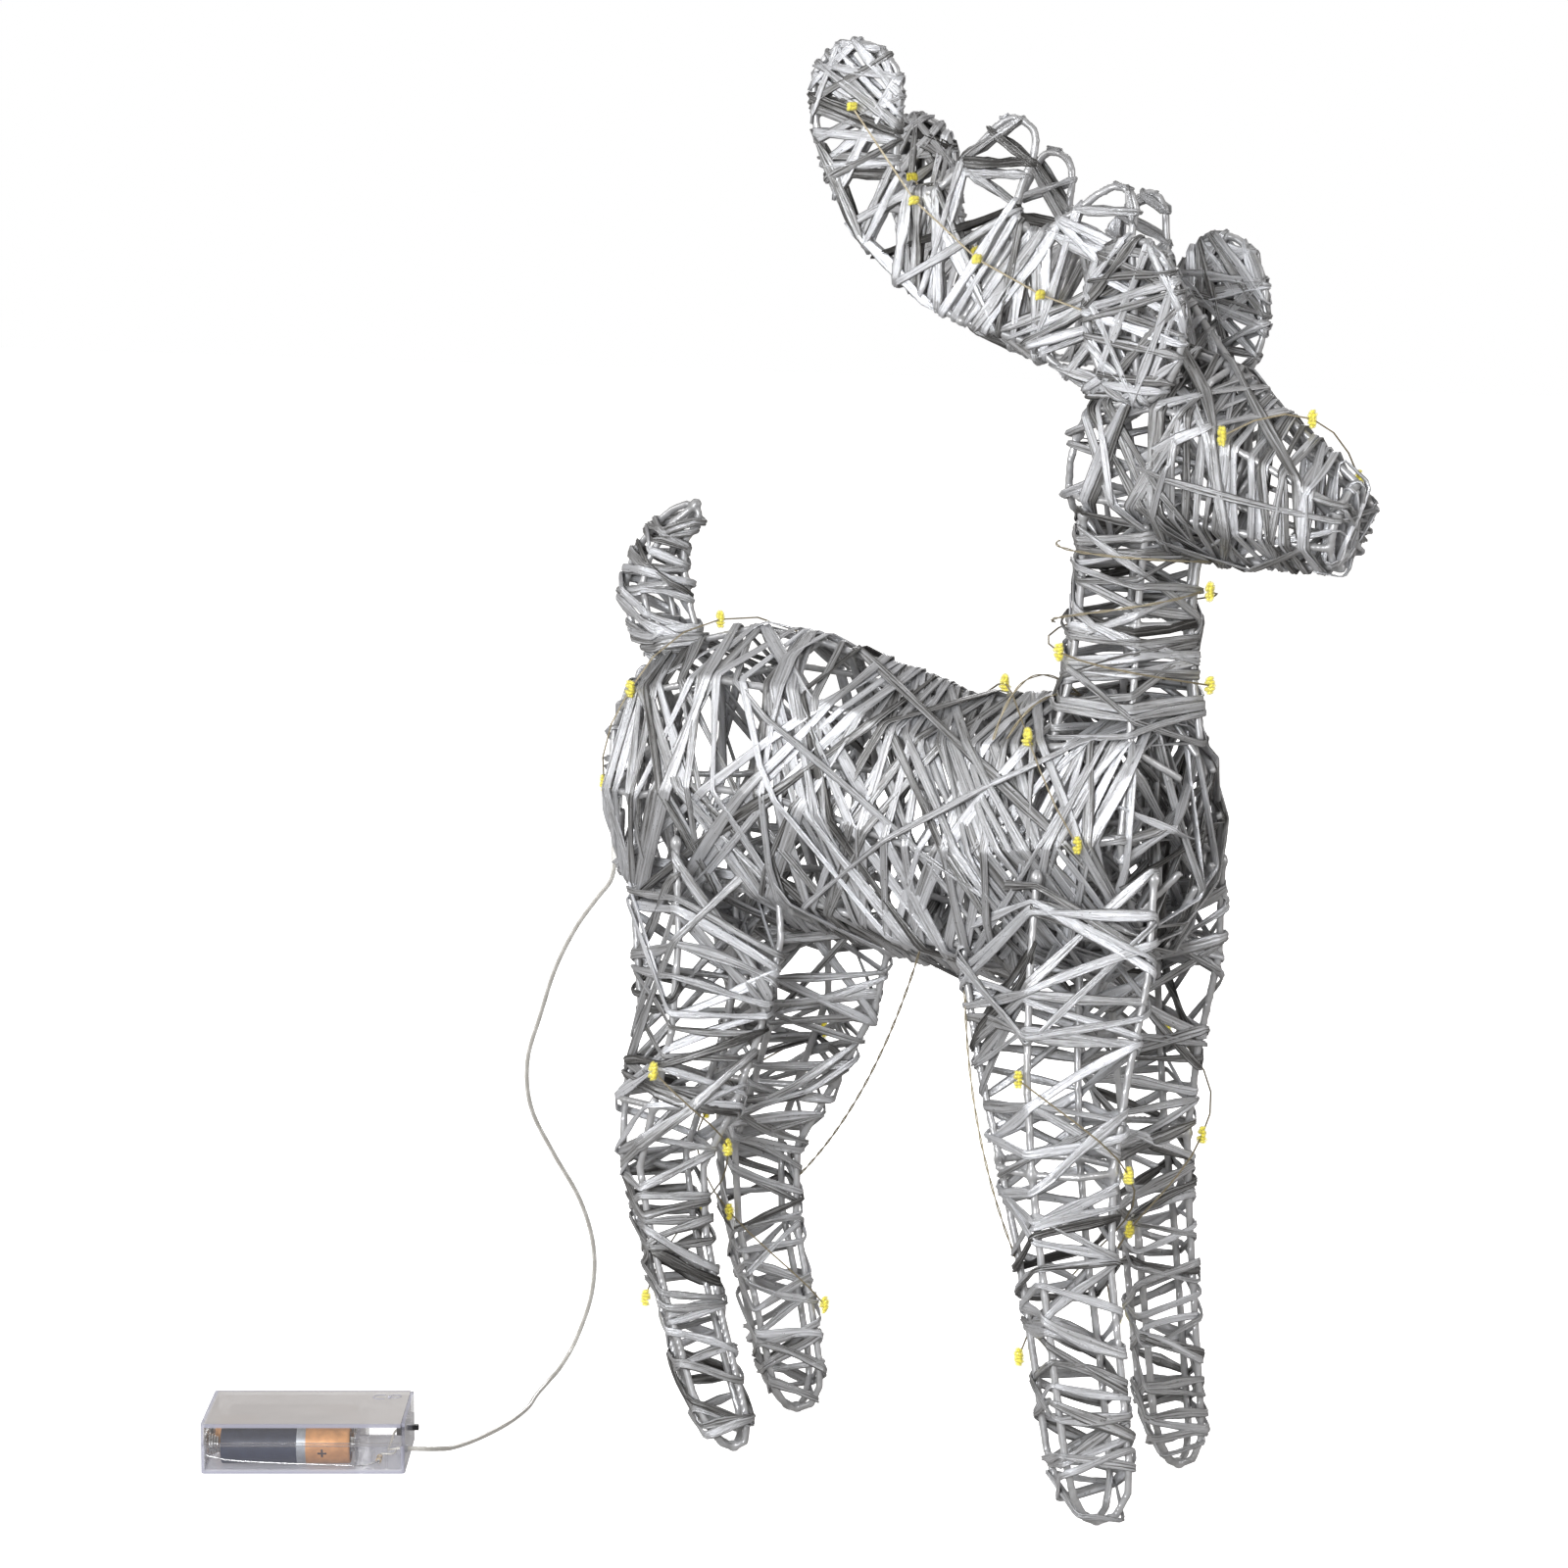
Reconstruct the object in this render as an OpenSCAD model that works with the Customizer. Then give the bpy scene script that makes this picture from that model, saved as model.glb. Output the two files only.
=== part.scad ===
// Light up yard reindeer: a wire cage wound with flat twine, hung with a string of small lights
// and fed through a clear lead from a battery box for three AA cells.
// Millimetres. +X is the way the animal faces, +Y its left side, +Z up. It stands on Z = 0.

/* [Frame wire] */
// Diameter of the cage wire
wire_d = 2.8; // [2:0.2:3.4]
// Diameter of a weld bead where two wires meet
bead_d = 4.2; // [3.6:0.2:5]

/* [Twine] */
// Clear gap between the wire and the inside of the wound twine
twine_gap = 0.8; // [0.4:0.1:1.2]
// Thickness of the wound twine
twine_t = 1.6; // [1.0:0.1:2.4]

/* [Lights] */
// Diameter of the twisted micro wire
micro_d = 0.8; // [0.6:0.1:1.2]
// Diameter of a light's clear drop
drop_d = 3.4; // [2.6:0.2:4.4]
// Length of a light's clear drop
drop_l = 6; // [4:0.5:8]

/* [Lead] */
// Diameter of the clear lead
lead_d = 1.8; // [1.4:0.2:2.2]

/* [Battery box] */
// Length of the box
box_l = 77; // [76:0.5:80]
// Width of the box
box_w = 51; // [50:0.5:54]
// Height of the box
box_h = 19; // [18.5:0.5:22]
// Height of the tray, up to the cover's seam
tray_h = 10.4; // [9:0.2:11]
// Wall thickness of the tray and the cover
wall = 1.3; // [1:0.1:1.6]
// Diameter of an AA cell
cell_d = 14.2; // [13.8:0.1:14.4]
// Length of an AA cell with its nub
cell_l = 50.5; // [49.5:0.1:50.5]
// Travel of the switch knob
knob_travel = 2; // [1.5:0.5:2.5]

/* [Hidden] */
$fn = 48;

silver = [0.62, 0.63, 0.65];
steel_grey = [0.55, 0.56, 0.57];
copper = [0.72, 0.52, 0.30];
clear = [0.85, 0.85, 0.88, 0.4];

wire_sides = 4;
bead_sides = 5;
eye_r = 3;
lead_sides = 8;
// The middle of the animal's own box, which becomes X = 0 and Y = 0
middle = [6.5, -2.5, 0];

// A station is [x, y, z, pitch, half width across, half depth]. Its plane holds the Y direction and
// the direction [-sin(pitch), 0, cos(pitch)], so pitch is how steeply the limb climbs there.
torso_stations = [
    [-142, 0, 256, 0, 12, 20],
    [-136, 0, 252, 0, 26, 43],
    [-116, 0, 252, 0, 36, 55],
    [-88, 0, 258, 0, 41, 56],
    [-57, 0, 257, 0, 41, 54],
    [-25, 0, 250, 0, 40, 53],
    [8, 0, 242, 0, 41, 51],
    [38, 0, 243, 0, 43, 51],
    [66, 0, 247, 0, 42, 50],
    [90, 0, 251, 0, 34, 43],
    [103, 0, 254, 0, 18, 24]
];
neck_stations = [
    [73, 0, 284, 90, 29, 31],
    [75, 0, 304, 90, 25, 26.5],
    [76, 0, 326, 90, 22.5, 23.5],
    [78, 0, 347, 88, 23, 24],
    [80, 0, 364, 84, 25, 26]
];
head_stations = [
    [58, 0, 384, -10, 15, 20],
    [68, 0, 387, -10, 24, 32],
    [86, 0, 389, -12, 30, 37],
    [106, 0, 385, -16, 30, 35],
    [124, 0, 377, -18, 26, 29],
    [141, 0, 371, -18, 21, 23],
    [155, 0, 366, -16, 17, 18],
    [162, 0, 364, -14, 13, 15]
];
// Each leg: stations down to the pastern, then the point where the hoof loops cross
front_right_stations = [
    [62, -27, 236, -90, 18, 38],
    [62, -31, 200, -90, 19, 38],
    [64, -36, 165, -90, 19, 31],
    [68, -40, 130, -90, 18, 23.5],
    [73, -42, 95, -90, 17, 19],
    [79, -43, 58, -90, 17, 18],
    [84, -44, 26, -90, 16, 17]
];
front_left_stations = [
    [62, 27, 236, -90, 18, 38],
    [61, 31, 200, -90, 19, 36],
    [61, 35, 165, -90, 18, 26],
    [63, 38, 130, -90, 16, 18],
    [67, 40, 95, -90, 14.5, 14.5],
    [71, 40, 55, -90, 14, 13.5],
    [74, 40, 24, -90, 13.5, 13]
];
rear_right_stations = [
    [-95, -22, 236, -90, 20, 32],
    [-92, -25, 200, -90, 20, 33],
    [-94, -27, 165, -90, 20, 27],
    [-103, -28, 135, -90, 18, 25],
    [-110, -29, 110, -90, 16, 18.5],
    [-106, -29, 85, -90, 15, 15.5],
    [-98, -29, 55, -90, 14, 14],
    [-88, -29, 24, -90, 13, 13]
];
rear_left_stations = [
    [-92, 22, 236, -90, 20, 44],
    [-82, 26, 200, -90, 20, 42],
    [-84, 30, 165, -90, 20, 33],
    [-96, 32, 135, -90, 18, 26],
    [-106, 33, 108, -90, 17, 18.5],
    [-105, 33, 78, -90, 16, 16.5],
    [-97, 33, 45, -90, 15.5, 15.5],
    [-92, 33, 22, -90, 14.5, 14.5]
];
leg_stations = [front_right_stations, front_left_stations, rear_right_stations, rear_left_stations];
hooves = [[88, -44], [78, 40], [-78, -29], [-88, 33]];

// Points round a circle in X and Y, from angle a to angle b in n steps
function arc(centre, r, a, b, n) = [
    for (k = [0 : n])
        let (w = a + (b - a) * k / n)
        centre + r * [cos(w), sin(w)]
];

// An antler's outline in its own plane, measured forward and up from its foot: the beam's back
// edge is part of an ellipse, and each tine's tip and each valley between tines is an arc.
antler_foot = [[-16, -12], [17, -12]];
beam_centre = [-20, 95];
beam_reach = [104, 92];
antler_outline = concat(
    [antler_foot[0]],
    [for (w = [10 : 16 : 74]) beam_centre - [beam_reach[0] * sin(w), beam_reach[1] * cos(w)]],
    arc([-107, 95], 17, 180, 0, 4),
    arc([-80, 70], 12, 180, 330, 3),
    arc([-46, 76], 9, 150, -30, 3),
    arc([-36, 53], 9, 170, 290, 2),
    arc([-7, 53], 8, 140, 0, 2),
    [[-2, 36], [4, 20], [11, 5], antler_foot[1]]
);
// Struts across an antler, as pairs of places in its outline
antler_struts = [[2, 20], [3, 13], [1, 25]];
// Each antler: its foot, how far its plane turns outward and how far it leans back
right_antler = [[85, -19, 422], 8, 0];
left_antler = [[88, 19, 422], 8, 13];

// An ear's outline is an ellipse in its own plane
ear_centre = [0, 15];
ear_reach = [19, 29];
ear_outline = [for (a = [90 : 36 : 414]) ear_centre + [ear_reach[0] * cos(a), ear_reach[1] * sin(a)]];
ear_foot = [93, 31, 421];

tail_stations = [
    [-122, 0, 305, 108, 7, 11],
    [-129, 0, 316, 106, 8.5, 14],
    [-132, 0, 328, 98, 9, 14.5],
    [-130, 0, 339, 80, 7.5, 11.5],
    [-124, 0, 350, 58, 5, 7]
];
tail_tip = [-113, 0, 360];

// The lights sit on a limb's skin at even steps along it, and the string winds round the limb by
// the same turn from each light to the next. A light's place is [station, angle round the limb],
// and the angles are those of the limb's lengthwise wires, so that each light rests on one.
function spaced(count, first, last, start, turn) = [
    for (i = [0 : count - 1])
        [first + (last - first) * i / (count - 1), start + turn * i]
];
// On the torso it goes over the back and returns, so it keeps clear of the tops of the legs.
torso_lights = concat(spaced(5, 0.5, 4.5, 180, -45), spaced(4, 5.5, 8.5, 45, 45));
neck_lights = spaced(4, 1, 2.6, 270, -120);
head_lights = spaced(3, 3.8, 5.8, 150, -60);
leg_lights = [
    spaced(4, 2, 5, 180, -90),
    spaced(4, 2, 5, 0, 90),
    spaced(4, 2.5, 6, 180, -90),
    spaced(4, 2.5, 6, 0, -90)
];
// On an antler they sit in its own plane, on its outer face, along the middle of the beam
antler_lights = [for (t = [0 : 0.25 : 1]) [-8 - 98 * t, 14 + 30 * t + 45 * pow(t, 3)]];

// The lead's route: down from the sleeve at the rump in a shallow S, onto the floor and along it to
// the box. The last two points lie on the axis of the box's bush.
lead_route = [
    [-156, 0, 220], [-158, 0, 212], [-165, 0, 204], [-175, 0, 192], [-185, 0, 175], [-195, 5, 155],
    [-203, 5, 135], [-205, 10, 115], [-200, 20, 95], [-193, 30, 75], [-190, 35, 55], [-193, 38, 35],
    [-200, 36, 15], [-204, 30, 4], [-202, 18, 1.2], [-195, 0, 1.2], [-185, -20, 1.2],
    [-178, -45, 1.2], [-175, -70, 1.2], [-172, -90, 3], [-170, -102, 6], [-170, -109, 7.6],
    [-174, -112.5, 8], [-177, -114.4, 8]
];

// Box layout, in the box's own frame: +X from the spring end to the switch end
box_place = [-218.6, -118, 32];
corner_r = 1.5;
bay_end = 58.1;
partition_h = 13;
cell_pitch = 15.6;
cell_z = wall + 0.3 + cell_d / 2;
nub_l = 1.2;
nub_d = 5.5;
plate_t = 0.4;
spring_d = 0.7;
knob_y = 41;
knob_z = 7;
knob_w = 2;
knob_out = 2.3;
bush_y = 6.5;
bush_z = 8;

function section_dir(s) = [-sin(s[3]), 0, cos(s[3])];
function ring_point(s, a, grow = 0) =
    [s[0], s[1], s[2]] + (s[4] + grow) * cos(a) * [0, 1, 0]
    + (s[5] + grow) * sin(a) * section_dir(s);
function line(stations, a, grow = 0) = [for (s = stations) ring_point(s, a, grow)];
function unit(v) = v / norm(v);
function reversed(p) = [for (i = [len(p) - 1 : -1 : 0]) p[i]];

// Catmull-Rom curve through points, n steps to a span
function spline_at(a, b, c, d, t) =
    0.5 * (2 * b + (c - a) * t + (2 * a - 5 * b + 4 * c - d) * t * t
    + (3 * b - a - 3 * c + d) * t * t * t);
function curve(p, n = 2) = [
    for (i = [0 : len(p) - 2])
        for (k = [0 : n - 1])
            spline_at(p[max(i - 1, 0)], p[i], p[i + 1], p[min(i + 2, len(p) - 1)], k / n),
    p[len(p) - 1]
];
function closed_curve(p, n = 2) = [
    for (i = [0 : len(p) - 1])
        for (k = [0 : n - 1])
            let (m = len(p))
            spline_at(p[(i + m - 1) % m], p[i], p[(i + 1) % m], p[(i + 2) % m], k / n)
];

// A frame carried along a path without twisting: [point, side, up] at each point
function path_dir(p, i) = unit(p[min(i + 1, len(p) - 1)] - p[max(i - 1, 0)]);
function square_to(v, t) = let (w = v - (v * t) * t) norm(w) > 0.05 ? unit(w) : unit(cross(t, [0.3, 1, 0.2]));
function carried(p, i = 0, u = [0.1, 1, 0.15]) =
    i == len(p) ? [] :
    let (t = path_dir(p, i), side = square_to(u, t))
    concat([[p[i], side, cross(t, side)]], carried(p, i + 1, side));

// A round wire along a path, as one closed solid
module wire(p, d = wire_d, sides = wire_sides) {
    rings = carried(p);
    n = len(p);
    points = [
        for (r = rings)
            for (k = [0 : sides - 1])
                r[0] + d / 2 * (cos(360 * k / sides) * r[1] + sin(360 * k / sides) * r[2])
    ];
    walls = [
        for (i = [0 : n - 2])
            for (k = [0 : sides - 1])
                let (a = i * sides + k, b = i * sides + (k + 1) % sides)
                [a, a + sides, b + sides, b]
    ];
    ends = [[for (k = [0 : sides - 1]) k], [for (k = [sides - 1 : -1 : 0]) (n - 1) * sides + k]];
    polyhedron(points, concat(walls, ends));
}

// A weld bead, a short lump along the wire
module bead(p, along = [0, 0, 1]) {
    hull() {
        translate(p - along * 0.8)
            sphere(d = bead_d, $fn = bead_sides);
        translate(p + along * 0.8)
            sphere(d = bead_d, $fn = bead_sides);
    }
}

// A hoop round a station, welded to the wires at the given angles
module hoop(s, angles, n = 16) {
    translate([s[0], s[1], s[2]])
        rotate([0, -s[3], 0])
            rotate([0, 90, 0])
                rotate([0, 0, 90])
                    rotate_ring(s, n);
    for (a = angles)
        bead(ring_point(s, a), [cos(s[3]), 0, sin(s[3])]);
}

// The hoop's own bent wire, flat in X and Y
module rotate_ring(s, n) {
    points = [
        for (i = [0 : n - 1])
            let (a = 360 * i / n, c = [s[4] * cos(a), s[5] * sin(a), 0], out = unit([c[0] / s[4] / s[4], c[1] / s[5] / s[5], 0]))
            for (k = [0 : wire_sides - 1])
                c + wire_d / 2 * (cos(360 * k / wire_sides) * out + sin(360 * k / wire_sides) * [0, 0, 1])
    ];
    walls = [
        for (i = [0 : n - 1])
            for (k = [0 : wire_sides - 1])
                let (a = i * wire_sides, b = (i + 1) % n * wire_sides, m = (k + 1) % wire_sides)
                [a + k, a + m, b + m, b + k]
    ];
    polyhedron(points, walls);
}

// Stations with one more at each end, set out by over and drawn in to a small eye
function eye_at(s, over, grow) =
    [s[0] + over * cos(s[3]), s[1], s[2] + over * sin(s[3]), s[3], eye_r - grow, eye_r - grow];
function drawn_in(stations, grow) =
    concat([eye_at(stations[0], -grow, grow)], stations, [eye_at(stations[len(stations) - 1], grow, grow)]);

// Wound twine round a limb, with the limb's frame inside. It is open at both ends, where the wires
// come out, or closed down to a small eye.
module wound_tube(stations, sides = 12, closed = false) {
    inner = wire_d / 2 + twine_gap;
    outer = inner + twine_t;
    points = [
        for (grow = [inner, outer])
            for (s = closed ? drawn_in(stations, grow) : stations)
                for (k = [0 : sides - 1])
                    ring_point(s, 360 * k / sides, grow)
    ];
    n = len(points) / sides / 2;
    m = n * sides;
    walls = [
        for (i = [0 : n - 2])
            for (k = [0 : sides - 1])
                let (a = i * sides + k, b = i * sides + (k + 1) % sides)
                each [[a, b, b + sides, a + sides], [m + a, m + a + sides, m + b + sides, m + b]]
    ];
    ends = [
        for (k = [0 : sides - 1])
            let (b = (k + 1) % sides, z = (n - 1) * sides)
            each [[k, m + k, m + b, b], [z + b, m + z + b, m + z + k, z + k]]
    ];
    polyhedron(points, concat(walls, ends));
}

// Twine wound round a flat loop: a closed pillow with the loop and its struts inside
module wound_loop(outline) {
    inner = wire_d / 2 + twine_gap;
    difference() {
        linear_extrude(height = 2 * (inner + twine_t), center = true)
            offset(delta = inner + twine_t)
                polygon(outline);
        linear_extrude(height = 2 * inner, center = true)
            offset(delta = inner)
                polygon(outline);
    }
}

module stand() {
    translate(-middle)
        children();
}

module torso_frame() {
    color(steel_grey)
        stand()
            union() {
                for (a = [0 : 45 : 315])
                    wire(line(torso_stations, a));
                for (i = [1, 4, 7, 9])
                    hoop(torso_stations[i], [90, 270], 12);
            }
}

module neck_frame() {
    color(steel_grey)
        stand()
            union() {
                for (a = [30 : 60 : 330])
                    wire(line(neck_stations, a));
                hoop(neck_stations[2], [30 : 60 : 330], 12);
                for (a = [30, 150])
                    bead(ring_point(neck_stations[4], a));
            }
}

module head_frame() {
    color(steel_grey)
        stand()
            union() {
                for (a = [30 : 60 : 330])
                    wire(line(head_stations, a));
                for (i = [0, 3, 7])
                    hoop(head_stations[i], [30, 150, 270], 12);
            }
}

// Carries a flat shape in X and Y upright to where an antler stands
module antler_place(place, side) {
    stand()
        translate(place[0])
            rotate([0, 0, -side * place[1]])
                rotate([0, -place[2], 0])
                    rotate([90, 0, 0])
                        children();
}

module antler_frame(place, side) {
    outline = closed_curve(antler_outline);
    color(steel_grey)
        antler_place(place, side)
            union() {
                flat_loop(outline);
                for (s = antler_struts) {
                    a = antler_outline[s[0]];
                    b = antler_outline[s[1]];
                    wire([[a[0], a[1], 0], [(a[0] + b[0]) / 2, (a[1] + b[1]) / 2, 0], [b[0], b[1], 0]]);
                    bead([a[0], a[1], 0]);
                    bead([b[0], b[1], 0]);
                }
                for (f = antler_foot)
                    bead([f[0], f[1], 0]);
            }
}

// A wire loop that lies flat in X and Y
module flat_loop(outline) {
    n = len(outline);
    points = [
        for (i = [0 : n - 1])
            let (t = unit(outline[(i + 1) % n] - outline[(i + n - 1) % n]), c = outline[i])
            for (k = [0 : wire_sides - 1])
                let (w = 360 * k / wire_sides)
                [c[0] - t[1] * cos(w) * wire_d / 2, c[1] + t[0] * cos(w) * wire_d / 2, sin(w) * wire_d / 2]
    ];
    walls = [
        for (i = [0 : n - 1])
            for (k = [0 : wire_sides - 1])
                let (a = i * wire_sides, b = (i + 1) % n * wire_sides, m = (k + 1) % wire_sides)
                [a + k, b + k, b + m, a + m]
    ];
    polyhedron(points, walls);
}

module antler_wrap(place, side) {
    color(silver)
        antler_place(place, side)
            wound_loop(closed_curve(antler_outline, 2));
}

module ear_place(side) {
    stand()
        translate([ear_foot[0], side * ear_foot[1], ear_foot[2]])
            rotate([-side * 6, 0, 0])
                rotate([90, 0, 0])
                    children();
}

module ear_frame(side) {
    color(steel_grey)
        ear_place(side)
            union() {
                flat_loop(closed_curve(ear_outline));
                wire([for (y = [1, 0, -1]) [ear_centre[0], ear_centre[1] + y * ear_reach[1], 0]]);
            }
}

module ear_wrap(side) {
    color(silver)
        ear_place(side)
            wound_loop(closed_curve(ear_outline, 2));
}

module torso_wrap() {
    color(silver)
        stand()
            wound_tube(torso_stations, 16, true);
}

module neck_wrap() {
    color(silver)
        stand()
            wound_tube(neck_stations, 12, true);
}

module head_wrap() {
    color(silver)
        stand()
            wound_tube(head_stations, 14, true);
}

// Half of a hoof loop: from a station's edge at angle a round to the crossing point below
function hoof_arc(s, foot, a, steps = 3) = [
    for (i = [1 : 2 * steps - 1])
        let (w = 90 * i / steps, edge = ring_point(s, a), c = [s[0], s[1], s[2]])
        c + cos(w) * (edge - c) + sin(w) * ([foot[0], foot[1], foot[2]] - c)
];

// Two long loops of wire that cross at the tip of a limb
module limb_cage(stations, tip, hoops) {
    last = stations[len(stations) - 1];
    for (a = [0, 90])
        wire(concat(line(stations, a), hoof_arc(last, tip, a), reversed(line(stations, a + 180))));
    bead(tip + [0, 0, (bead_d - wire_d) / 2], [0.3, 0, 0]);
    for (a = [0 : 90 : 270])
        bead(ring_point(stations[0], a));
    for (i = hoops)
        hoop(stations[i], [0 : 90 : 270], 8);
}

module leg_frame(i) {
    color(steel_grey)
        stand()
            union() {
                limb_cage(leg_stations[i], [hooves[i][0], hooves[i][1], wire_d / 2], [3]);
            }
}

module leg_wrap(i) {
    color(silver)
        stand()
            wound_tube(leg_stations[i]);
}

module tail_frame() {
    color(steel_grey)
        stand()
            union() {
                limb_cage(tail_stations, tail_tip, [2]);
            }
}

module tail_wrap() {
    color(silver)
        stand()
            wound_tube(tail_stations);
}

// A place on a limb's skin, lifted clear of the twine
function skin_grow() = wire_d / 2 + twine_gap + twine_t + drop_d / 2 + 0.8;
function station_at(stations, s) =
    let (i = min(floor(s), len(stations) - 2))
    stations[i] + (s - i) * (stations[i + 1] - stations[i]);
function skin_point(stations, p) = ring_point(station_at(stations, p[0]), p[1], skin_grow());
function route_steps(a, b) = ceil(max(abs(b[1] - a[1]) / 20, abs(b[0] - a[0]) * 1.5));
function skin_route(stations, lights) = [
    for (i = [0 : len(lights) - 2])
        let (a = lights[i], b = lights[i + 1], n = route_steps(a, b))
        for (k = [0 : n - 1])
            skin_point(stations, a + (b - a) * k / n),
    skin_point(stations, lights[len(lights) - 1])
];
function antler_spot(p) = [p[0], p[1], wire_d / 2 + twine_gap + twine_t + drop_l / 2 + 0.2];

module micro_wire() {
    color(copper) {
        stand() {
            wire(skin_route(torso_stations, torso_lights), micro_d, 3);
            wire(skin_route(neck_stations, neck_lights), micro_d, 3);
            wire(skin_route(head_stations, head_lights), micro_d, 3);
            for (i = [0 : 3])
                wire(skin_route(leg_stations[i], leg_lights[i]), micro_d, 3);
        }
        antler_place(right_antler, -1)
            wire([for (p = antler_lights) antler_spot(p)], micro_d, 3);
        antler_place(left_antler, 1)
            wire([for (p = antler_lights) antler_spot(p)], micro_d, 3);
    }
}

module drop(p) {
    hull() {
        translate(p - [0, 0, (drop_l - drop_d) / 2])
            sphere(d = drop_d, $fn = 4);
        translate(p + [0, 0, (drop_l - drop_d) / 2])
            sphere(d = drop_d, $fn = 4);
    }
}

module skin_drops(stations, lights) {
    for (p = lights)
        drop(skin_point(stations, p));
}

module light_drops() {
    color("khaki")
        union() {
            stand() {
                skin_drops(torso_stations, torso_lights);
                skin_drops(neck_stations, neck_lights);
                skin_drops(head_stations, head_lights);
                for (i = [0 : 3])
                    skin_drops(leg_stations[i], leg_lights[i]);
            }
            for (side = [-1, 1])
                antler_place(side < 0 ? right_antler : left_antler, side)
                    for (p = antler_lights)
                        drop(antler_spot(p));
        }
}

// Shrink sleeve over the joint between the lead and the micro wire, lying on the rump
module lead_sleeve() {
    color(clear)
        translate(lead_route[0])
            rotate([0, 4, 0])
                cylinder(d = lead_d + 1.4, h = 14);
}

module lead() {
    color(clear)
        wire(curve(lead_route, 2), lead_d, lead_sides);
}

module in_box() {
    translate([box_place[0], box_place[1], 0])
        rotate([0, 0, box_place[2]])
            translate([-box_l / 2, -box_w / 2, 0])
                children();
}

// A block with round upright corners
module block(l, w, h, r) {
    translate([r, 0, 0])
        cube([l - 2 * r, w, h]);
    translate([0, r, 0])
        cube([l, w - 2 * r, h]);
    for (x = [r, l - r])
        for (y = [r, w - r])
            translate([x, y, 0])
                cylinder(r = r, h = h);
}

function cell_y(i) = box_w / 2 + (i - 1) * cell_pitch;

module battery_tray() {
    tongue = wall * 0.45;
    color(clear)
        in_box()
            difference() {
                union() {
                    block(box_l, box_w, tray_h, corner_r);
                    translate([box_l - wall, corner_r, 0])
                        cube([wall, box_w - 2 * corner_r, box_h]);
                    for (y = [wall - tongue, box_w - wall])
                        translate([corner_r, y, tray_h - 1])
                            cube([box_l - wall - corner_r - 1, tongue, 2]);
                }
                translate([wall, wall, wall])
                    cube([bay_end - wall, box_w - 2 * wall, box_h]);
                translate([bay_end + wall, wall, wall])
                    cube([box_l - 2 * wall - bay_end, box_w - 2 * wall, box_h]);
                translate([bay_end - 1, knob_y - 1, 8])
                    cube([wall + 2, 2, box_h]);
                translate([bay_end - 1, wall, wall])
                    cube([wall + 2, 2, 2.4]);
                translate([box_l - wall - 1, knob_y - knob_w / 2 - knob_travel / 2 - 0.2, knob_z - knob_w / 2 - 0.2])
                    cube([wall + 2, knob_w + knob_travel + 0.4, knob_w + 0.4]);
                translate([box_l - wall - 1, bush_y, bush_z])
                    rotate([0, 90, 0])
                        cylinder(r = 1.55, h = wall + 2);
            }
    color(clear)
        in_box() {
            difference() {
                translate([bay_end, wall, tray_h - 1])
                    cube([wall, box_w - 2 * wall, partition_h - tray_h + 1]);
                translate([bay_end - 1, knob_y - 1, 8])
                    cube([wall + 2, 2, box_h]);
            }
            for (i = [0, 1])
                translate([wall + 4, (cell_y(i) + cell_y(i + 1)) / 2 - 0.4, wall])
                    cube([bay_end - wall - 8, 0.8, 5]);
            for (x = [64.5, 69.5])
                translate([x, wall, wall])
                    cube([0.9, 1.8, tray_h - wall - 1]);
        }
}

module battery_cover() {
    seam = 0.2;
    lip = wall * 0.45 + 0.1;
    color(clear)
        in_box()
            difference() {
                intersection() {
                    translate([0, 0, tray_h + seam])
                        block(box_l, box_w, box_h - tray_h - seam, corner_r);
                    cube([box_l - wall - seam, box_w, box_h]);
                }
                translate([wall, wall, 0])
                    cube([box_l, box_w - 2 * wall, box_h - wall]);
                for (y = [wall - lip, box_w - wall - 0.01])
                    translate([corner_r - 0.2, y, 0])
                        cube([box_l, lip + 0.01, tray_h + 1.2]);
            }
}

// A cell with its nub towards +X, starting at X = 0
module cell() {
    rotate([0, 90, 0]) {
        cylinder(d = cell_d, h = cell_l - nub_l);
        cylinder(d = nub_d, h = cell_l);
    }
}

module battery_cell(i) {
    color([0.25, 0.27, 0.32])
        in_box()
            translate([i == 1 ? wall + plate_t + 0.2 + cell_l : bay_end - plate_t - 0.2 - cell_l, cell_y(i), cell_z])
                rotate([0, 0, i == 1 ? 180 : 0])
                    cell();
}

// A spring's centre line, from its seat at X = 0 towards the cell
function spring_line(l, turns = 3) = [
    for (k = [0 : turns * 8])
        let (t = k / turns / 8, r = 4 - 1.6 * t)
        [l * t, r * cos(360 * turns * t), r * sin(360 * turns * t)]
];

module contact_springs() {
    seat = wall + plate_t + 0.05;
    room = bay_end - cell_l - wall - 2 * plate_t - 0.7 - spring_d;
    color("silver")
        in_box() {
            for (i = [0, 2])
                translate([seat + spring_d / 2 + 0.1, cell_y(i), cell_z])
                    wire(spring_line(room), spring_d, 4);
            translate([bay_end - plate_t - 0.15 - spring_d / 2, cell_y(1), cell_z])
                rotate([0, 0, 180])
                    wire(spring_line(room), spring_d, 4);
        }
}

module contact_plates() {
    color("silver")
        in_box() {
            for (p = [[0, 0], [1, 2]])
                translate([wall + 0.02, cell_y(p[0]) - 5, wall + 1])
                    cube([plate_t, cell_y(p[1]) - cell_y(p[0]) + 10, 11.5]);
            for (p = [[0, 1], [2, 2]])
                translate([bay_end - plate_t - 0.02, cell_y(p[0]) - 5, wall + 1])
                    cube([plate_t, cell_y(p[1]) - cell_y(p[0]) + 10, 11.5]);
        }
}

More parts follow.
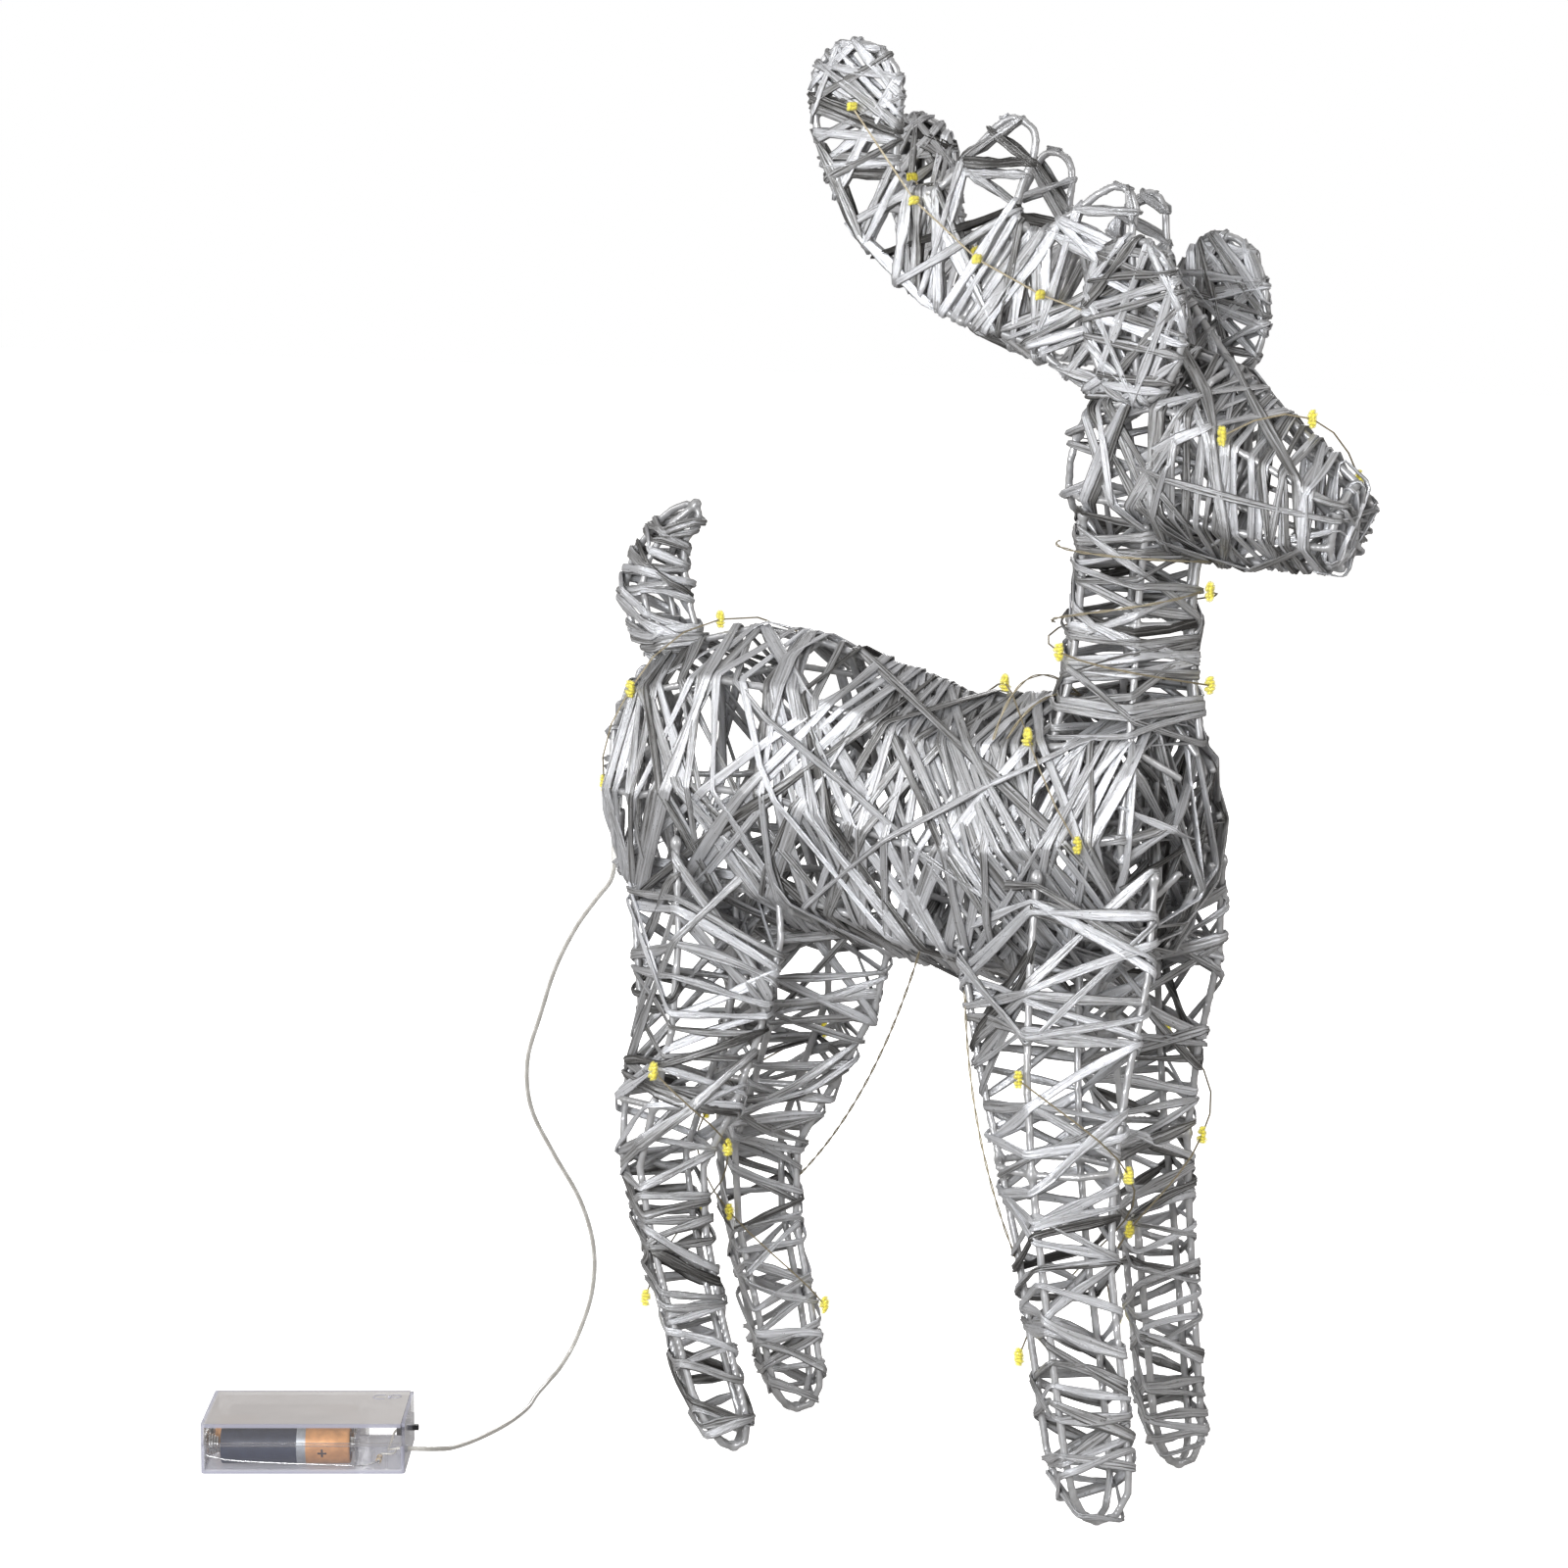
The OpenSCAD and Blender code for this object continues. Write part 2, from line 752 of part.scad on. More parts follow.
// Tinned wire from the spring end to the resistor, along the foot of the front wall
module bus_wire() {
    color("gainsboro")
        in_box()
            wire([[2, 2.4, 6.5], [4, 2.1, 6], [12, 2, 4.6], [30, 2, 3.6], [52, 2, 2.8], [59, 2.2, 2.5],
                [63, 4, 2.6], [66.5, 6.4, 3]], 0.7, 4);
}

module resistor() {
    color("tan")
        in_box() {
            translate([66.5, 7.2, 3])
                rotate([-90, 0, 0])
                    cylinder(d = 2.3, h = 6.2);
            translate([66.5, 13.4, 3])
                rotate([-90, 0, 0])
                    cylinder(d = 0.6, h = 3);
        }
}

module switch_case() {
    color([0.12, 0.12, 0.12])
        in_box()
            difference() {
                translate([box_l - wall - 4.6, knob_y - 4.5, knob_z - 2.1])
                    cube([4.5, 9, 4.2]);
                translate([box_l - wall - 2.8, knob_y - knob_w / 2 - knob_travel / 2 - 0.2, knob_z - knob_w / 2 - 0.2])
                    cube([4, knob_w + knob_travel + 0.4, knob_w + 0.4]);
            }
}

module switch_knob() {
    color([0.08, 0.08, 0.08])
        in_box()
            translate([box_l - wall - 2.6, knob_y - knob_w / 2, knob_z - knob_w / 2])
                cube([2.6 + wall + knob_out, knob_w, knob_w]);
}

// The lead's two cores inside the box, and the link from the switch to the back cell
module inner_leads() {
    color([0.8, 0.78, 0.72])
        in_box() {
            wire([[76, 6.05, 8], [73, 6.1, 8], [71, 9, 7], [69.5, 16, 5], [69.5, 30, 4], [70, 37, 5.5], [70.9, 39, 6.5]], 0.8, 4);
            wire([[76, 6.95, 8], [73.6, 7.2, 8], [72.6, 11, 5.4], [70.5, 16.5, 3.2], [66.5, 17.2, 3]], 0.8, 4);
            wire([[70.9, 43.5, 6.5], [68, 44, 7.5], [63, 42, 9], [59.5, 41, 9.5], [bay_end + 0.1, 41, 9.5]], 0.8, 4);
        }
}

// Bush that holds the lead in the end wall
module lead_bush() {
    color([0.8, 0.8, 0.82])
        in_box()
            translate([0, bush_y, bush_z])
                rotate([0, 90, 0])
                    difference() {
                        union() {
                            translate([0, 0, box_l - wall - 0.9])
                                cylinder(r = 2.1, h = 0.85);
                            translate([0, 0, box_l - wall - 0.5])
                                cylinder(r = 1.5, h = wall + 1.3);
                        }
                        translate([0, 0, box_l - wall - 2])
                            cylinder(r = 0.95, h = wall + 5);
                    }
}

torso_frame();
neck_frame();
head_frame();
antler_frame(right_antler, -1);  // right_antler_frame
antler_frame(left_antler, 1);  // left_antler_frame
ear_frame(-1);  // right_ear_frame
ear_frame(1);  // left_ear_frame
tail_frame();
leg_frame(0);  // front_right_leg_frame
leg_frame(1);  // front_left_leg_frame
leg_frame(2);  // rear_right_leg_frame
leg_frame(3);  // rear_left_leg_frame
torso_wrap();
neck_wrap();
head_wrap();
antler_wrap(right_antler, -1);  // right_antler_wrap
antler_wrap(left_antler, 1);  // left_antler_wrap
ear_wrap(-1);  // right_ear_wrap
ear_wrap(1);  // left_ear_wrap
tail_wrap();
leg_wrap(0);  // front_right_leg_wrap
leg_wrap(1);  // front_left_leg_wrap
leg_wrap(2);  // rear_right_leg_wrap
leg_wrap(3);  // rear_left_leg_wrap
micro_wire();
light_drops();
lead_sleeve();
lead();
battery_tray();
battery_cover();
battery_cell(0);  // front_cell
battery_cell(1);  // middle_cell
battery_cell(2);  // back_cell
contact_springs();
contact_plates();
bus_wire();
resistor();
switch_case();
switch_knob();
inner_leads();
lead_bush();
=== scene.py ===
"""Light up yard reindeer: a wire cage wound with silver paper twine, a micro light string,
and a clear battery box on a thin lead. Metres, in the CAD model's own frame."""

import math
import random

import bmesh
import bpy
import numpy as np
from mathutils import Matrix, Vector


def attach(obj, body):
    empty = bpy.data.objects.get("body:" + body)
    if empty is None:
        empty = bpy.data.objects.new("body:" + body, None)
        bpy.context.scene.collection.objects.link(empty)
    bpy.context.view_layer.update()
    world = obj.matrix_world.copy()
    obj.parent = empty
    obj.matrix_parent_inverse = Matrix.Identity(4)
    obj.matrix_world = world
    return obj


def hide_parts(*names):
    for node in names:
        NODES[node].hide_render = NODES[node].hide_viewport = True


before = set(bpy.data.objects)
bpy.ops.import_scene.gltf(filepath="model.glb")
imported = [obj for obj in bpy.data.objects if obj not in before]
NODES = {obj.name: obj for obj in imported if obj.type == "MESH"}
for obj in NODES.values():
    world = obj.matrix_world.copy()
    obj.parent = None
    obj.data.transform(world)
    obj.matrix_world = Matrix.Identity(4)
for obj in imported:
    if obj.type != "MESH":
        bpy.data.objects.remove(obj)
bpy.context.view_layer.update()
MM = 0.001
DEER = "reindeer"
SCENE = bpy.context.scene

LEAD_D = 1.8 * MM
TWINE_W = 4.6 * MM
TWINE_T = 0.6 * MM


# ---- camera, light and floor

def make_camera():
    """The long lens stands well back, half a metre up, looking slightly down."""
    heading = math.radians(32)
    down = math.radians(7.65)
    data = bpy.data.cameras.new("camera")
    data.lens = 112.5
    data.sensor_width = 36
    data.clip_end = 50
    camera = bpy.data.objects.new("camera", data)
    SCENE.collection.objects.link(camera)
    camera.location = (0.9014, -1.5678, 0.504)
    camera.rotation_euler = (math.pi / 2 - down, 0, heading)
    SCENE.camera = camera


def area_light(name, place, target, size, power, color=(1, 1, 1)):
    data = bpy.data.lights.new(name, "AREA")
    data.shape = "RECTANGLE"
    data.size, data.size_y = size
    data.energy = power
    data.color = color
    lamp = bpy.data.objects.new(name, data)
    SCENE.collection.objects.link(lamp)
    lamp.location = place
    lamp.rotation_euler = (Vector(target) - Vector(place)).to_track_quat("-Z", "Y").to_euler()


def make_world():
    """A white backdrop, and a dimmer warm grey that the silver reflects."""
    world = bpy.data.worlds.new("studio")
    SCENE.world = world
    world.use_nodes = True
    tree = world.node_tree
    around = tree.nodes["Background"]
    around.inputs["Color"].default_value = (0.52, 0.505, 0.49, 1)
    around.inputs["Strength"].default_value = 0.8
    backdrop = new_node(tree, "Background", Color=(1, 1, 1, 1), Strength=1.0)
    seen = tree.nodes.new("ShaderNodeLightPath").outputs["Is Camera Ray"]
    mix = tree.nodes.new("ShaderNodeMixShader")
    tree.links.new(seen, mix.inputs[0])
    tree.links.new(around.outputs[0], mix.inputs[1])
    tree.links.new(backdrop.outputs[0], mix.inputs[2])
    tree.links.new(mix.outputs[0], tree.nodes["World Output"].inputs["Surface"])


def make_studio():
    SCENE.view_settings.view_transform = "Standard"
    make_world()
    middle = (0, 0, 0.27)
    area_light("key", (0.25, -1.9, 0.7), (0, 0, 0.2), (1.0, 0.6), 42, (0.95, 0.97, 1))
    area_light("side", (-1.7, -1.2, 0.9), middle, (0.5, 1.2), 13)
    area_light("front", (1.9, -0.2, 0.8), middle, (0.5, 1.0), 9)
    area_light("top", (0.0, 0.5, 2.2), middle, (1.2, 1.2), 4)
    area_light("back", (-0.9, 1.9, 1.0), middle, (1.0, 0.8), 16)

    floor_mat = material("floor", (0.9, 0.9, 0.9), 0.8, Specular_IOR_Level=0.1,
                         Emission_Color=(1, 1, 1, 1), Emission_Strength=0.85)[0]
    bpy.ops.mesh.primitive_plane_add(size=14, location=(0, 0, -0.0002))
    floor = bpy.context.object
    floor.name = "floor"
    floor.data.materials.append(floor_mat)
    floor.visible_diffuse = False
    floor.visible_glossy = False


# ---- materials

def preset(node, inputs):
    """Sets a node's inputs by name, with underscores for spaces."""
    for key, value in inputs.items():
        node.inputs[key.replace("_", " ")].default_value = value


def new_node(tree, kind, **inputs):
    node = tree.nodes.new("ShaderNode" + kind)
    preset(node, inputs)
    return node


def material(name, color, roughness=0.5, metallic=0.0, **inputs):
    """A node material: (material, its Principled node, its node tree)."""
    mat = bpy.data.materials.new(name)
    mat.use_nodes = True
    tree = mat.node_tree
    bsdf = tree.nodes["Principled BSDF"]
    preset(bsdf, dict(Base_Color=(*color, 1), Roughness=roughness, Metallic=metallic, **inputs))
    return mat, bsdf, tree


def noise(tree, vector, scale, detail=3.0, roughness=0.5):
    """A noise texture over a vector socket; returns its factor socket."""
    tex = new_node(tree, "TexNoise", Scale=scale, Detail=detail, Roughness=roughness)
    tree.links.new(vector, tex.inputs["Vector"])
    return tex.outputs["Fac"]


def ramp(tree, factor, stops):
    """A colour ramp with (place, colour or grey) stops; returns its colour socket."""
    node = tree.nodes.new("ShaderNodeValToRGB")
    elements = node.color_ramp.elements
    while len(elements) < len(stops):
        elements.new(0.5)
    for element, (place, value) in zip(elements, stops):
        element.position = place
        rgb = (value, value, value) if isinstance(value, (int, float)) else value
        element.color = (*rgb, 1)
    tree.links.new(factor, node.inputs["Fac"])
    return node.outputs["Color"]


def scaled(tree, vector, scale):
    node = new_node(tree, "Mapping", Scale=scale)
    tree.links.new(vector, node.inputs["Vector"])
    return node.outputs["Vector"]


def math_node(tree, operation, a, b):
    node = tree.nodes.new("ShaderNodeMath")
    node.operation = operation
    for socket, value in zip(node.inputs, (a, b)):
        if isinstance(value, (int, float)):
            socket.default_value = value
        else:
            tree.links.new(value, socket)
    return node.outputs["Value"]


def bump(tree, bsdf, height, strength, distance):
    node = new_node(tree, "Bump", Strength=strength, Distance=distance)
    tree.links.new(height, node.inputs["Height"])
    tree.links.new(node.outputs["Normal"], bsdf.inputs["Normal"])


def object_coords(tree):
    return tree.nodes.new("ShaderNodeTexCoord").outputs["Object"]


def twine_material():
    """Flat paper twine with a silver coat: long fibres, creases and a patchy satin gloss."""
    mat, bsdf, tree = material("silver_twine", (0.4, 0.4, 0.42), 0.36, 0.6)
    uv = tree.nodes.new("ShaderNodeTexCoord").outputs["UV"]
    fibres = noise(tree, scaled(tree, uv, (9, 3, 1)), 1.0, 4.0, 0.66)
    creases = noise(tree, scaled(tree, uv, (7, 30, 1)), 1.0, 3.0, 0.6)
    tone = tree.nodes.new("ShaderNodeAttribute")
    tone.attribute_name = "tone"
    toned = math_node(tree, "MULTIPLY_ADD", fibres, 0.8)
    tree.links.new(tone.outputs["Fac"], toned.node.inputs[2])
    color = ramp(tree, toned, [
        (0.33, (0.035, 0.033, 0.031)), (0.42, (0.17, 0.167, 0.162)), (0.51, (0.38, 0.38, 0.385)),
        (0.64, (0.58, 0.585, 0.605)), (0.82, (0.84, 0.85, 0.88)),
    ])
    tree.links.new(color, bsdf.inputs["Base Color"])
    tree.links.new(ramp(tree, creases, [(0.3, 0.24), (0.7, 0.5)]), bsdf.inputs["Roughness"])
    height = math_node(tree, "ADD", fibres, math_node(tree, "MULTIPLY", creases, 0.6))
    bump(tree, bsdf, height, 1.0, 0.5 * MM)
    return mat


def wire_material():
    """Steel wire in a thin grey paint, a little rough where it was dipped."""
    mat, bsdf, tree = material("grey_wire", (0.45, 0.45, 0.46), 0.34, 0.5)
    place = object_coords(tree)
    patches = noise(tree, place, 160, 4.0)
    tree.links.new(ramp(tree, patches, [(0.3, (0.34, 0.34, 0.34)), (0.7, (0.54, 0.54, 0.55))]),
              bsdf.inputs["Base Color"])
    tree.links.new(ramp(tree, patches, [(0.3, 0.45), (0.7, 0.28)]), bsdf.inputs["Roughness"])
    bump(tree, bsdf, noise(tree, place, 900, 2.0), 0.25, 0.1 * MM)
    return mat


def plastic_material(name, color, roughness):
    """Moulded plastic with a faint grain."""
    mat, bsdf, tree = material(name, color, roughness, IOR=1.5)
    place = object_coords(tree)
    haze = noise(tree, place, 400, 3.0)
    low, high = 0.8 * roughness, min(1.0, 1.25 * roughness)
    tree.links.new(ramp(tree, haze, [(0.3, low), (0.7, high)]), bsdf.inputs["Roughness"])
    bump(tree, bsdf, haze, 0.3, 0.03 * MM)
    return mat


def near_edges(tree, wide):
    """1 within a wall's width of the battery box's outer edges, where clear walls are seen
    end on and look denser, and 0 elsewhere."""
    middle = (BOX_PLACE[0] * MM, BOX_PLACE[1] * MM, BOX_SIZE[2] / 2 * MM)
    local = tree.nodes.new("ShaderNodeMapping")
    local.vector_type = "TEXTURE"
    preset(local, dict(Location=middle, Rotation=(0, 0, BOX_TURN), Scale=(MM, MM, MM)))
    tree.links.new(object_coords(tree), local.inputs["Vector"])
    split = tree.nodes.new("ShaderNodeSeparateXYZ")
    tree.links.new(local.outputs["Vector"], split.inputs[0])
    depths = []
    for place, size in zip(split.outputs, BOX_SIZE):
        out = math_node(tree, "ABSOLUTE", place, 0)
        depths.append(math_node(tree, "SUBTRACT", size / 2, out))
    nearer = math_node(tree, "MINIMUM", depths[0], depths[1])
    further = math_node(tree, "MAXIMUM", depths[0], depths[1])
    lower = math_node(tree, "MINIMUM", further, depths[2])
    second = math_node(tree, "MAXIMUM", nearer, lower)
    return ramp(tree, math_node(tree, "MULTIPLY", second, 0.1), [
        (0.1 * wide - 0.02, 1.0), (0.1 * wide + 0.03, 0.0),
    ])


def mixed(tree, factor, a, b, kind="FLOAT"):
    """A mix node of two sockets or values; returns its result."""
    node = tree.nodes.new("ShaderNodeMix")
    node.data_type = kind
    first = {"FLOAT": 2, "RGBA": 6}[kind]
    tree.links.new(factor, node.inputs[0])
    for socket, value in ((node.inputs[first], a), (node.inputs[first + 1], b)):
        if isinstance(value, (int, float, tuple)):
            socket.default_value = value
        else:
            tree.links.new(value, socket)
    return node.outputs[{"FLOAT": 0, "RGBA": 2}[kind]]


def clear_material(name, color, low, high, roughness=0.08, frosted=None, rim=None):
    """Clear plastic: see-through face on, milkier at its edges; frosted is the milkiness and
    roughness of its upward faces, and rim the colour of the box's walls seen end on."""
    mat, bsdf, tree = material(name, color, roughness, IOR=1.49)
    edge = new_node(tree, "LayerWeight", Blend=0.35)
    alpha = ramp(tree, edge.outputs["Facing"], [(0.1, low), (0.85, high)])
    place = object_coords(tree)
    haze = noise(tree, place, 260, 4.0)
    if frosted:
        milk, dull = frosted
        split = tree.nodes.new("ShaderNodeSeparateXYZ")
        tree.links.new(tree.nodes.new("ShaderNodeNewGeometry").outputs["Normal"], split.inputs[0])
        upward = math_node(tree, "GREATER_THAN", split.outputs["Z"], 0.9)
        patches = noise(tree, place, 45, 2.0)
        patchy = ramp(tree, patches, [(0.3, milk - 0.08), (0.7, milk + 0.05)])
        alpha = mixed(tree, upward, alpha, patchy)
        tree.links.new(mixed(tree, upward, roughness, dull), bsdf.inputs["Roughness"])
    if rim:
        near = near_edges(tree, WALL)
        alpha = mixed(tree, near, alpha, 0.72)
        tree.links.new(mixed(tree, near, (*color, 1), (*rim, 1), "RGBA"), bsdf.inputs["Base Color"])
    tree.links.new(alpha, bsdf.inputs["Alpha"])
    bump(tree, bsdf, haze, 0.35, 0.05 * MM)
    return mat


def metal_material(name, color, roughness, grain=700):
    mat, bsdf, tree = material(name, color, roughness, 1.0)
    place = object_coords(tree)
    marks = noise(tree, place, grain, 4.0)
    tree.links.new(ramp(tree, marks, [(0.3, 0.7 * roughness), (0.7, 1.3 * roughness)]),
              bsdf.inputs["Roughness"])
    bump(tree, bsdf, marks, 0.2, 0.04 * MM)
    return mat


def set_material(obj, mat):
    obj.data.materials.clear()
    obj.data.materials.append(mat)


# ---- mesh helpers

def arrays(obj):
    """A mesh's vertices and triangles as arrays."""
    mesh = obj.data
    mesh.calc_loop_triangles()
    verts = np.zeros(len(mesh.vertices) * 3)
    mesh.vertices.foreach_get("co", verts)
    tris = np.zeros(len(mesh.loop_triangles) * 3, int)
    mesh.loop_triangles.foreach_get("vertices", tris)
    return verts.reshape(-1, 3), tris.reshape(-1, 3)


def new_object(name, mesh, body=DEER):
    obj = bpy.data.objects.new(name, mesh)
    SCENE.collection.objects.link(obj)
    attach(obj, body)
    return obj


def unit(v):
    return v / np.linalg.norm(v, axis=-1, keepdims=True)


def principal(verts):
    """The directions in which points spread least, between and most."""
    spread = verts - verts.mean(0)
    return np.linalg.eigh(spread.T @ spread)[1].T


def section(verts, tris, point, normal):
    """Where a plane cuts a mesh's edges."""
    side = (verts - point) @ normal
    found = []
    for a, b in ((0, 1), (1, 2), (2, 0)):
        i, j = tris[:, a], tris[:, b]
        cut = side[i] * side[j] < 0
        i, j = i[cut], j[cut]
        t = side[i] / (side[i] - side[j])
        found.append(verts[i] + t[:, None] * (verts[j] - verts[i]))
    return np.concatenate(found)


def convex_hull(points):
    """Corners of the 2-D hull, counter-clockwise."""
    points = sorted(map(tuple, points))

    def half(order):
        chain = []
        for p in order:
            while len(chain) > 1 and (
                (chain[-1][0] - chain[-2][0]) * (p[1] - chain[-2][1])
                - (chain[-1][1] - chain[-2][1]) * (p[0] - chain[-2][0])
            ) <= 0:
                chain.pop()
            chain.append(p)
        return chain[:-1]

    return np.array(half(points) + half(points[::-1]))


def wave(rng, s, turns=4, scale=1.0):
    """A smooth periodic wobble over s in 0..1, about -scale to scale."""
    total = np.zeros_like(s)
    for k in range(1, turns + 1):
        total += rng.uniform(0.3, 1) * np.sin(2 * math.pi * (k * s + rng.random()))
    return scale * total / math.sqrt(turns)


# ---- twine

class Twine:
    """Collects bands of flat twine into one mesh."""

    ACROSS = np.array([-1, -0.76, -0.48, -0.16, 0.16, 0.48, 0.76, 1, 0.5, -0.5])
    TOP = 8
    STRANDS = np.array([-0.9, 0.25, -0.1, 0.3, -0.15, 0.2, 0.1, -0.9])

    def __init__(self, seed):
        self.rng = random.Random(seed)
        self.verts, self.faces, self.uvs, self.tones = [], [], [], []
        self.count = 0

    def band(self, path, out, width, closed=True, waist=0.4):
        """One band along a path, lying flat against what is under it; out points away from that,
        and waist is the share of its width lost where it bends round a wire."""
        rng, n, m = self.rng, len(path), len(self.ACROSS)
        ahead, behind = np.roll(path, -1, 0), np.roll(path, 1, 0)
        if not closed:
            ahead[-1], behind[0] = path[-1], path[0]
        along = unit(ahead - behind)
        side = unit(np.cross(along, out))
        up = np.cross(side, along)
        steps = np.linalg.norm(np.roll(path, -1, 0) - path, axis=1)
        length = steps.sum()
        s = np.concatenate([[0], np.cumsum(steps)[:-1]]) / length
        turn = wave(rng, s, 5, 0.24)[:, None]
        side, up = np.cos(turn) * side + np.sin(turn) * up, np.cos(turn) * up - np.sin(turn) * side
        pinch = np.clip(0.4 + wave(rng, s, 6, 0.6), 0, 1)
        bend = 1 - np.clip((unit(ahead - path) * unit(path - behind)).sum(1), 0, 1)
        for _ in range(2):
            bend = (np.roll(bend, 1) + 1.6 * bend + np.roll(bend, -1)) / 2.6
        half = width / 2 * (1 - 0.5 * pinch) * (1 - waist * np.clip(2.2 * bend, 0, 1))
        thick = TWINE_T * (0.8 + 1.1 * pinch)
        ridge = np.stack([wave(rng, s, 6, 0.5) for _ in range(self.TOP)], 1)
        ridge += np.array([rng.uniform(-0.45, 0.45) for _ in range(self.TOP)])
        ridge += self.STRANDS
        height = np.concatenate([0.45 + 0.5 * ridge, np.full((n, m - self.TOP), -0.5)], 1)
        rings = (
            path[:, None] + side[:, None] * (half[:, None] * self.ACROSS)[..., None]
            + up[:, None] * (thick[:, None] * height)[..., None]
        )
        spans = n if closed else n - 1
        i, j = np.meshgrid(np.arange(spans), np.arange(m), indexing="ij")
        i2, j2 = (i + 1) % n, (j + 1) % m
        quads = np.stack([i * m + j, i2 * m + j, i2 * m + j2, i * m + j2], -1).reshape(-1, 4)
        v0 = s[i] * length * 10
        v1 = v0 + steps[i] * 10
        u0, u1 = j / m, (j + 1) / m
        uv = np.stack([np.stack([u0, v0], -1), np.stack([u0, v1], -1),
                       np.stack([u1, v1], -1), np.stack([u1, v0], -1)], 2).reshape(-1, 2)
        uv = uv + np.array([rng.randrange(40), rng.random() * 30])
        self.faces.append(quads + self.count)
        self.uvs.append(uv)
        self.verts.append(rings.reshape(-1, 3))
        self.tones.append(np.full(n * m, rng.gauss(0.13, 0.075)))
        self.count += n * m

    def lay(self, limb, point, normal, lift, width, reach=1.0):
        """A turn pulled round a limb in the plane through point, if the plane meets the cage."""
        found = limb.loop(self.rng, point, normal, self.rng.uniform(*lift) * MM, reach)
        if found:
            self.band(*found, TWINE_W * self.rng.uniform(*width))

    def build(self, limb, mat):
        """The bands as one mesh, in place of the limb's plain wrap."""
        name = limb + "_twine"
        mesh = bpy.data.meshes.new(name)
        verts, faces = np.concatenate(self.verts), np.concatenate(self.faces)
        mesh.vertices.add(len(verts))
        mesh.vertices.foreach_set("co", verts.ravel())
        mesh.loops.add(faces.size)
        mesh.loops.foreach_set("vertex_index", faces.ravel())
        mesh.polygons.add(len(faces))
        mesh.polygons.foreach_set("loop_start", np.arange(0, faces.size, 4))
        mesh.update(calc_edges=True)
        mesh.uv_layers.new(name="UVMap").data.foreach_set("uv", np.concatenate(self.uvs).ravel())
        tone = mesh.attributes.new("tone", "FLOAT", "POINT")
        tone.data.foreach_set("value", np.concatenate(self.tones))
        mesh.polygons.foreach_set("use_smooth", np.ones(len(faces), bool))
        mesh.validate()
        obj = new_object(name, mesh)
        set_material(obj, mat)
        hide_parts(limb + "_wrap")
        print(name, len(self.verts), "bands", 2 * len(faces), "triangles")


def taut_loop(rng, points, normal, lift, axis, wander=0.0, step=5 * MM):
    """The path of a band pulled tight round section points in a plane, lift outside them, with
    the outward direction at each point kept square to the limb's axis. It wanders a little
    from its plane."""
    u = unit(np.cross(normal, [0.31, 0.77, 0.55]))
    v = np.cross(normal, u)
    origin = points.mean(0)
    flat = np.stack([(points - origin) @ u, (points - origin) @ v], 1)
    hull = convex_hull(flat)
    kept = [hull[0]]
    for p in hull[1:]:
        if np.linalg.norm(p - kept[-1]) > 0.9 * MM:
            kept.append(p)
    if len(kept) < 3:
        return None
    hull = np.array(kept)
    path, out = [], []
    for a, b in zip(hull, np.roll(hull, -1, 0)):
        edge = b - a
        length = np.linalg.norm(edge)
        square = np.array([edge[1], -edge[0]]) / length
        parts = max(1, round(length / step))
        for k in range(parts + 1):
            path.append(a + edge * k / parts + square * lift)
            out.append(square)
    path, out = np.array(path), np.array(out)
    apart = np.linalg.norm(path - np.roll(path, 1, 0), axis=1) > 0.25 * MM
    path, out = path[apart], out[apart]
    out = out + 0.6 * (np.roll(out, 1, 0) + np.roll(out, -1, 0))
    share = np.arange(len(path)) / len(path)
    path3 = origin + path[:, :1] * u + path[:, 1:] * v
    path3 = path3 + wave(rng, share, 3, wander)[:, None] * normal
    out3 = out[:, :1] * u + out[:, 1:] * v
    out3 = out3 - (out3 @ axis)[:, None] * axis
    return path3, unit(out3)


class Limb:
    """A cage of wires along an axis, read from a CAD frame node."""

    def __init__(self, node, axis=None):
        self.verts, self.tris = arrays(NODES[node])
        self.middle = (self.verts.min(0) + self.verts.max(0)) / 2
        if axis is None:
            axis = principal(self.verts)[2]
            axis = axis * np.sign(axis.sum())
        self.axis = unit(np.array(axis, float))
        reach = (self.verts - self.middle) @ self.axis
        self.low, self.high = reach.min(), reach.max()

    def cut(self, share):
        point = self.middle + self.axis * (self.low + share * (self.high - self.low))
        return section(self.verts, self.tris, point, self.axis)

    def centre(self, share):
        """The middle of the cage at a share of its length."""
        cut = self.cut(share)
        return (cut.min(0) + cut.max(0)) / 2

    def edge(self, share, direction):
        """The furthest part of the cage in a direction, at a share of its length."""
        cut = self.cut(share)
        return cut[np.argmax(cut @ direction)]

    def loop(self, rng, point, normal, lift, reach=1.0, wander=1.6 * MM):
        cut = section(self.verts, self.tris, point, normal)
        cut = cut[np.linalg.norm(cut - point, axis=1) < reach]
        if len(cut) < 8:
            return None
        return taut_loop(rng, cut, normal, lift, self.axis, wander)


def tilted(rng, axis, low, high):
    """A direction tilted off axis by low to high degrees, any way round."""
    across = unit(np.cross(axis, [rng.gauss(0, 1) for _ in range(3)]))
    angle = math.radians(rng.uniform(low, high))
    return math.cos(angle) * axis + math.sin(angle) * across


def wind(twine, limb, turns, span, tilt, lift=(0.35, 1.9), width=(0.7, 1.2), reach=1.0):
    """Turns of twine round a limb over a span of its length."""
    rng = twine.rng
    for k in range(turns):
        share = span[0] + (span[1] - span[0]) * (k + rng.random()) / turns
        normal = tilted(rng, limb.axis, *tilt)
        twine.lay(limb, limb.centre(share), normal, lift, width, reach)


def gathered(rng, share, pinches, pull):
    """A place along a limb, moved most of the way to the nearest pinch with chance pull."""
    if rng.random() > pull:
        return share
    nearest = min(pinches, key=lambda p: abs(p - share))
    return nearest + rng.gauss(0, 0.012)


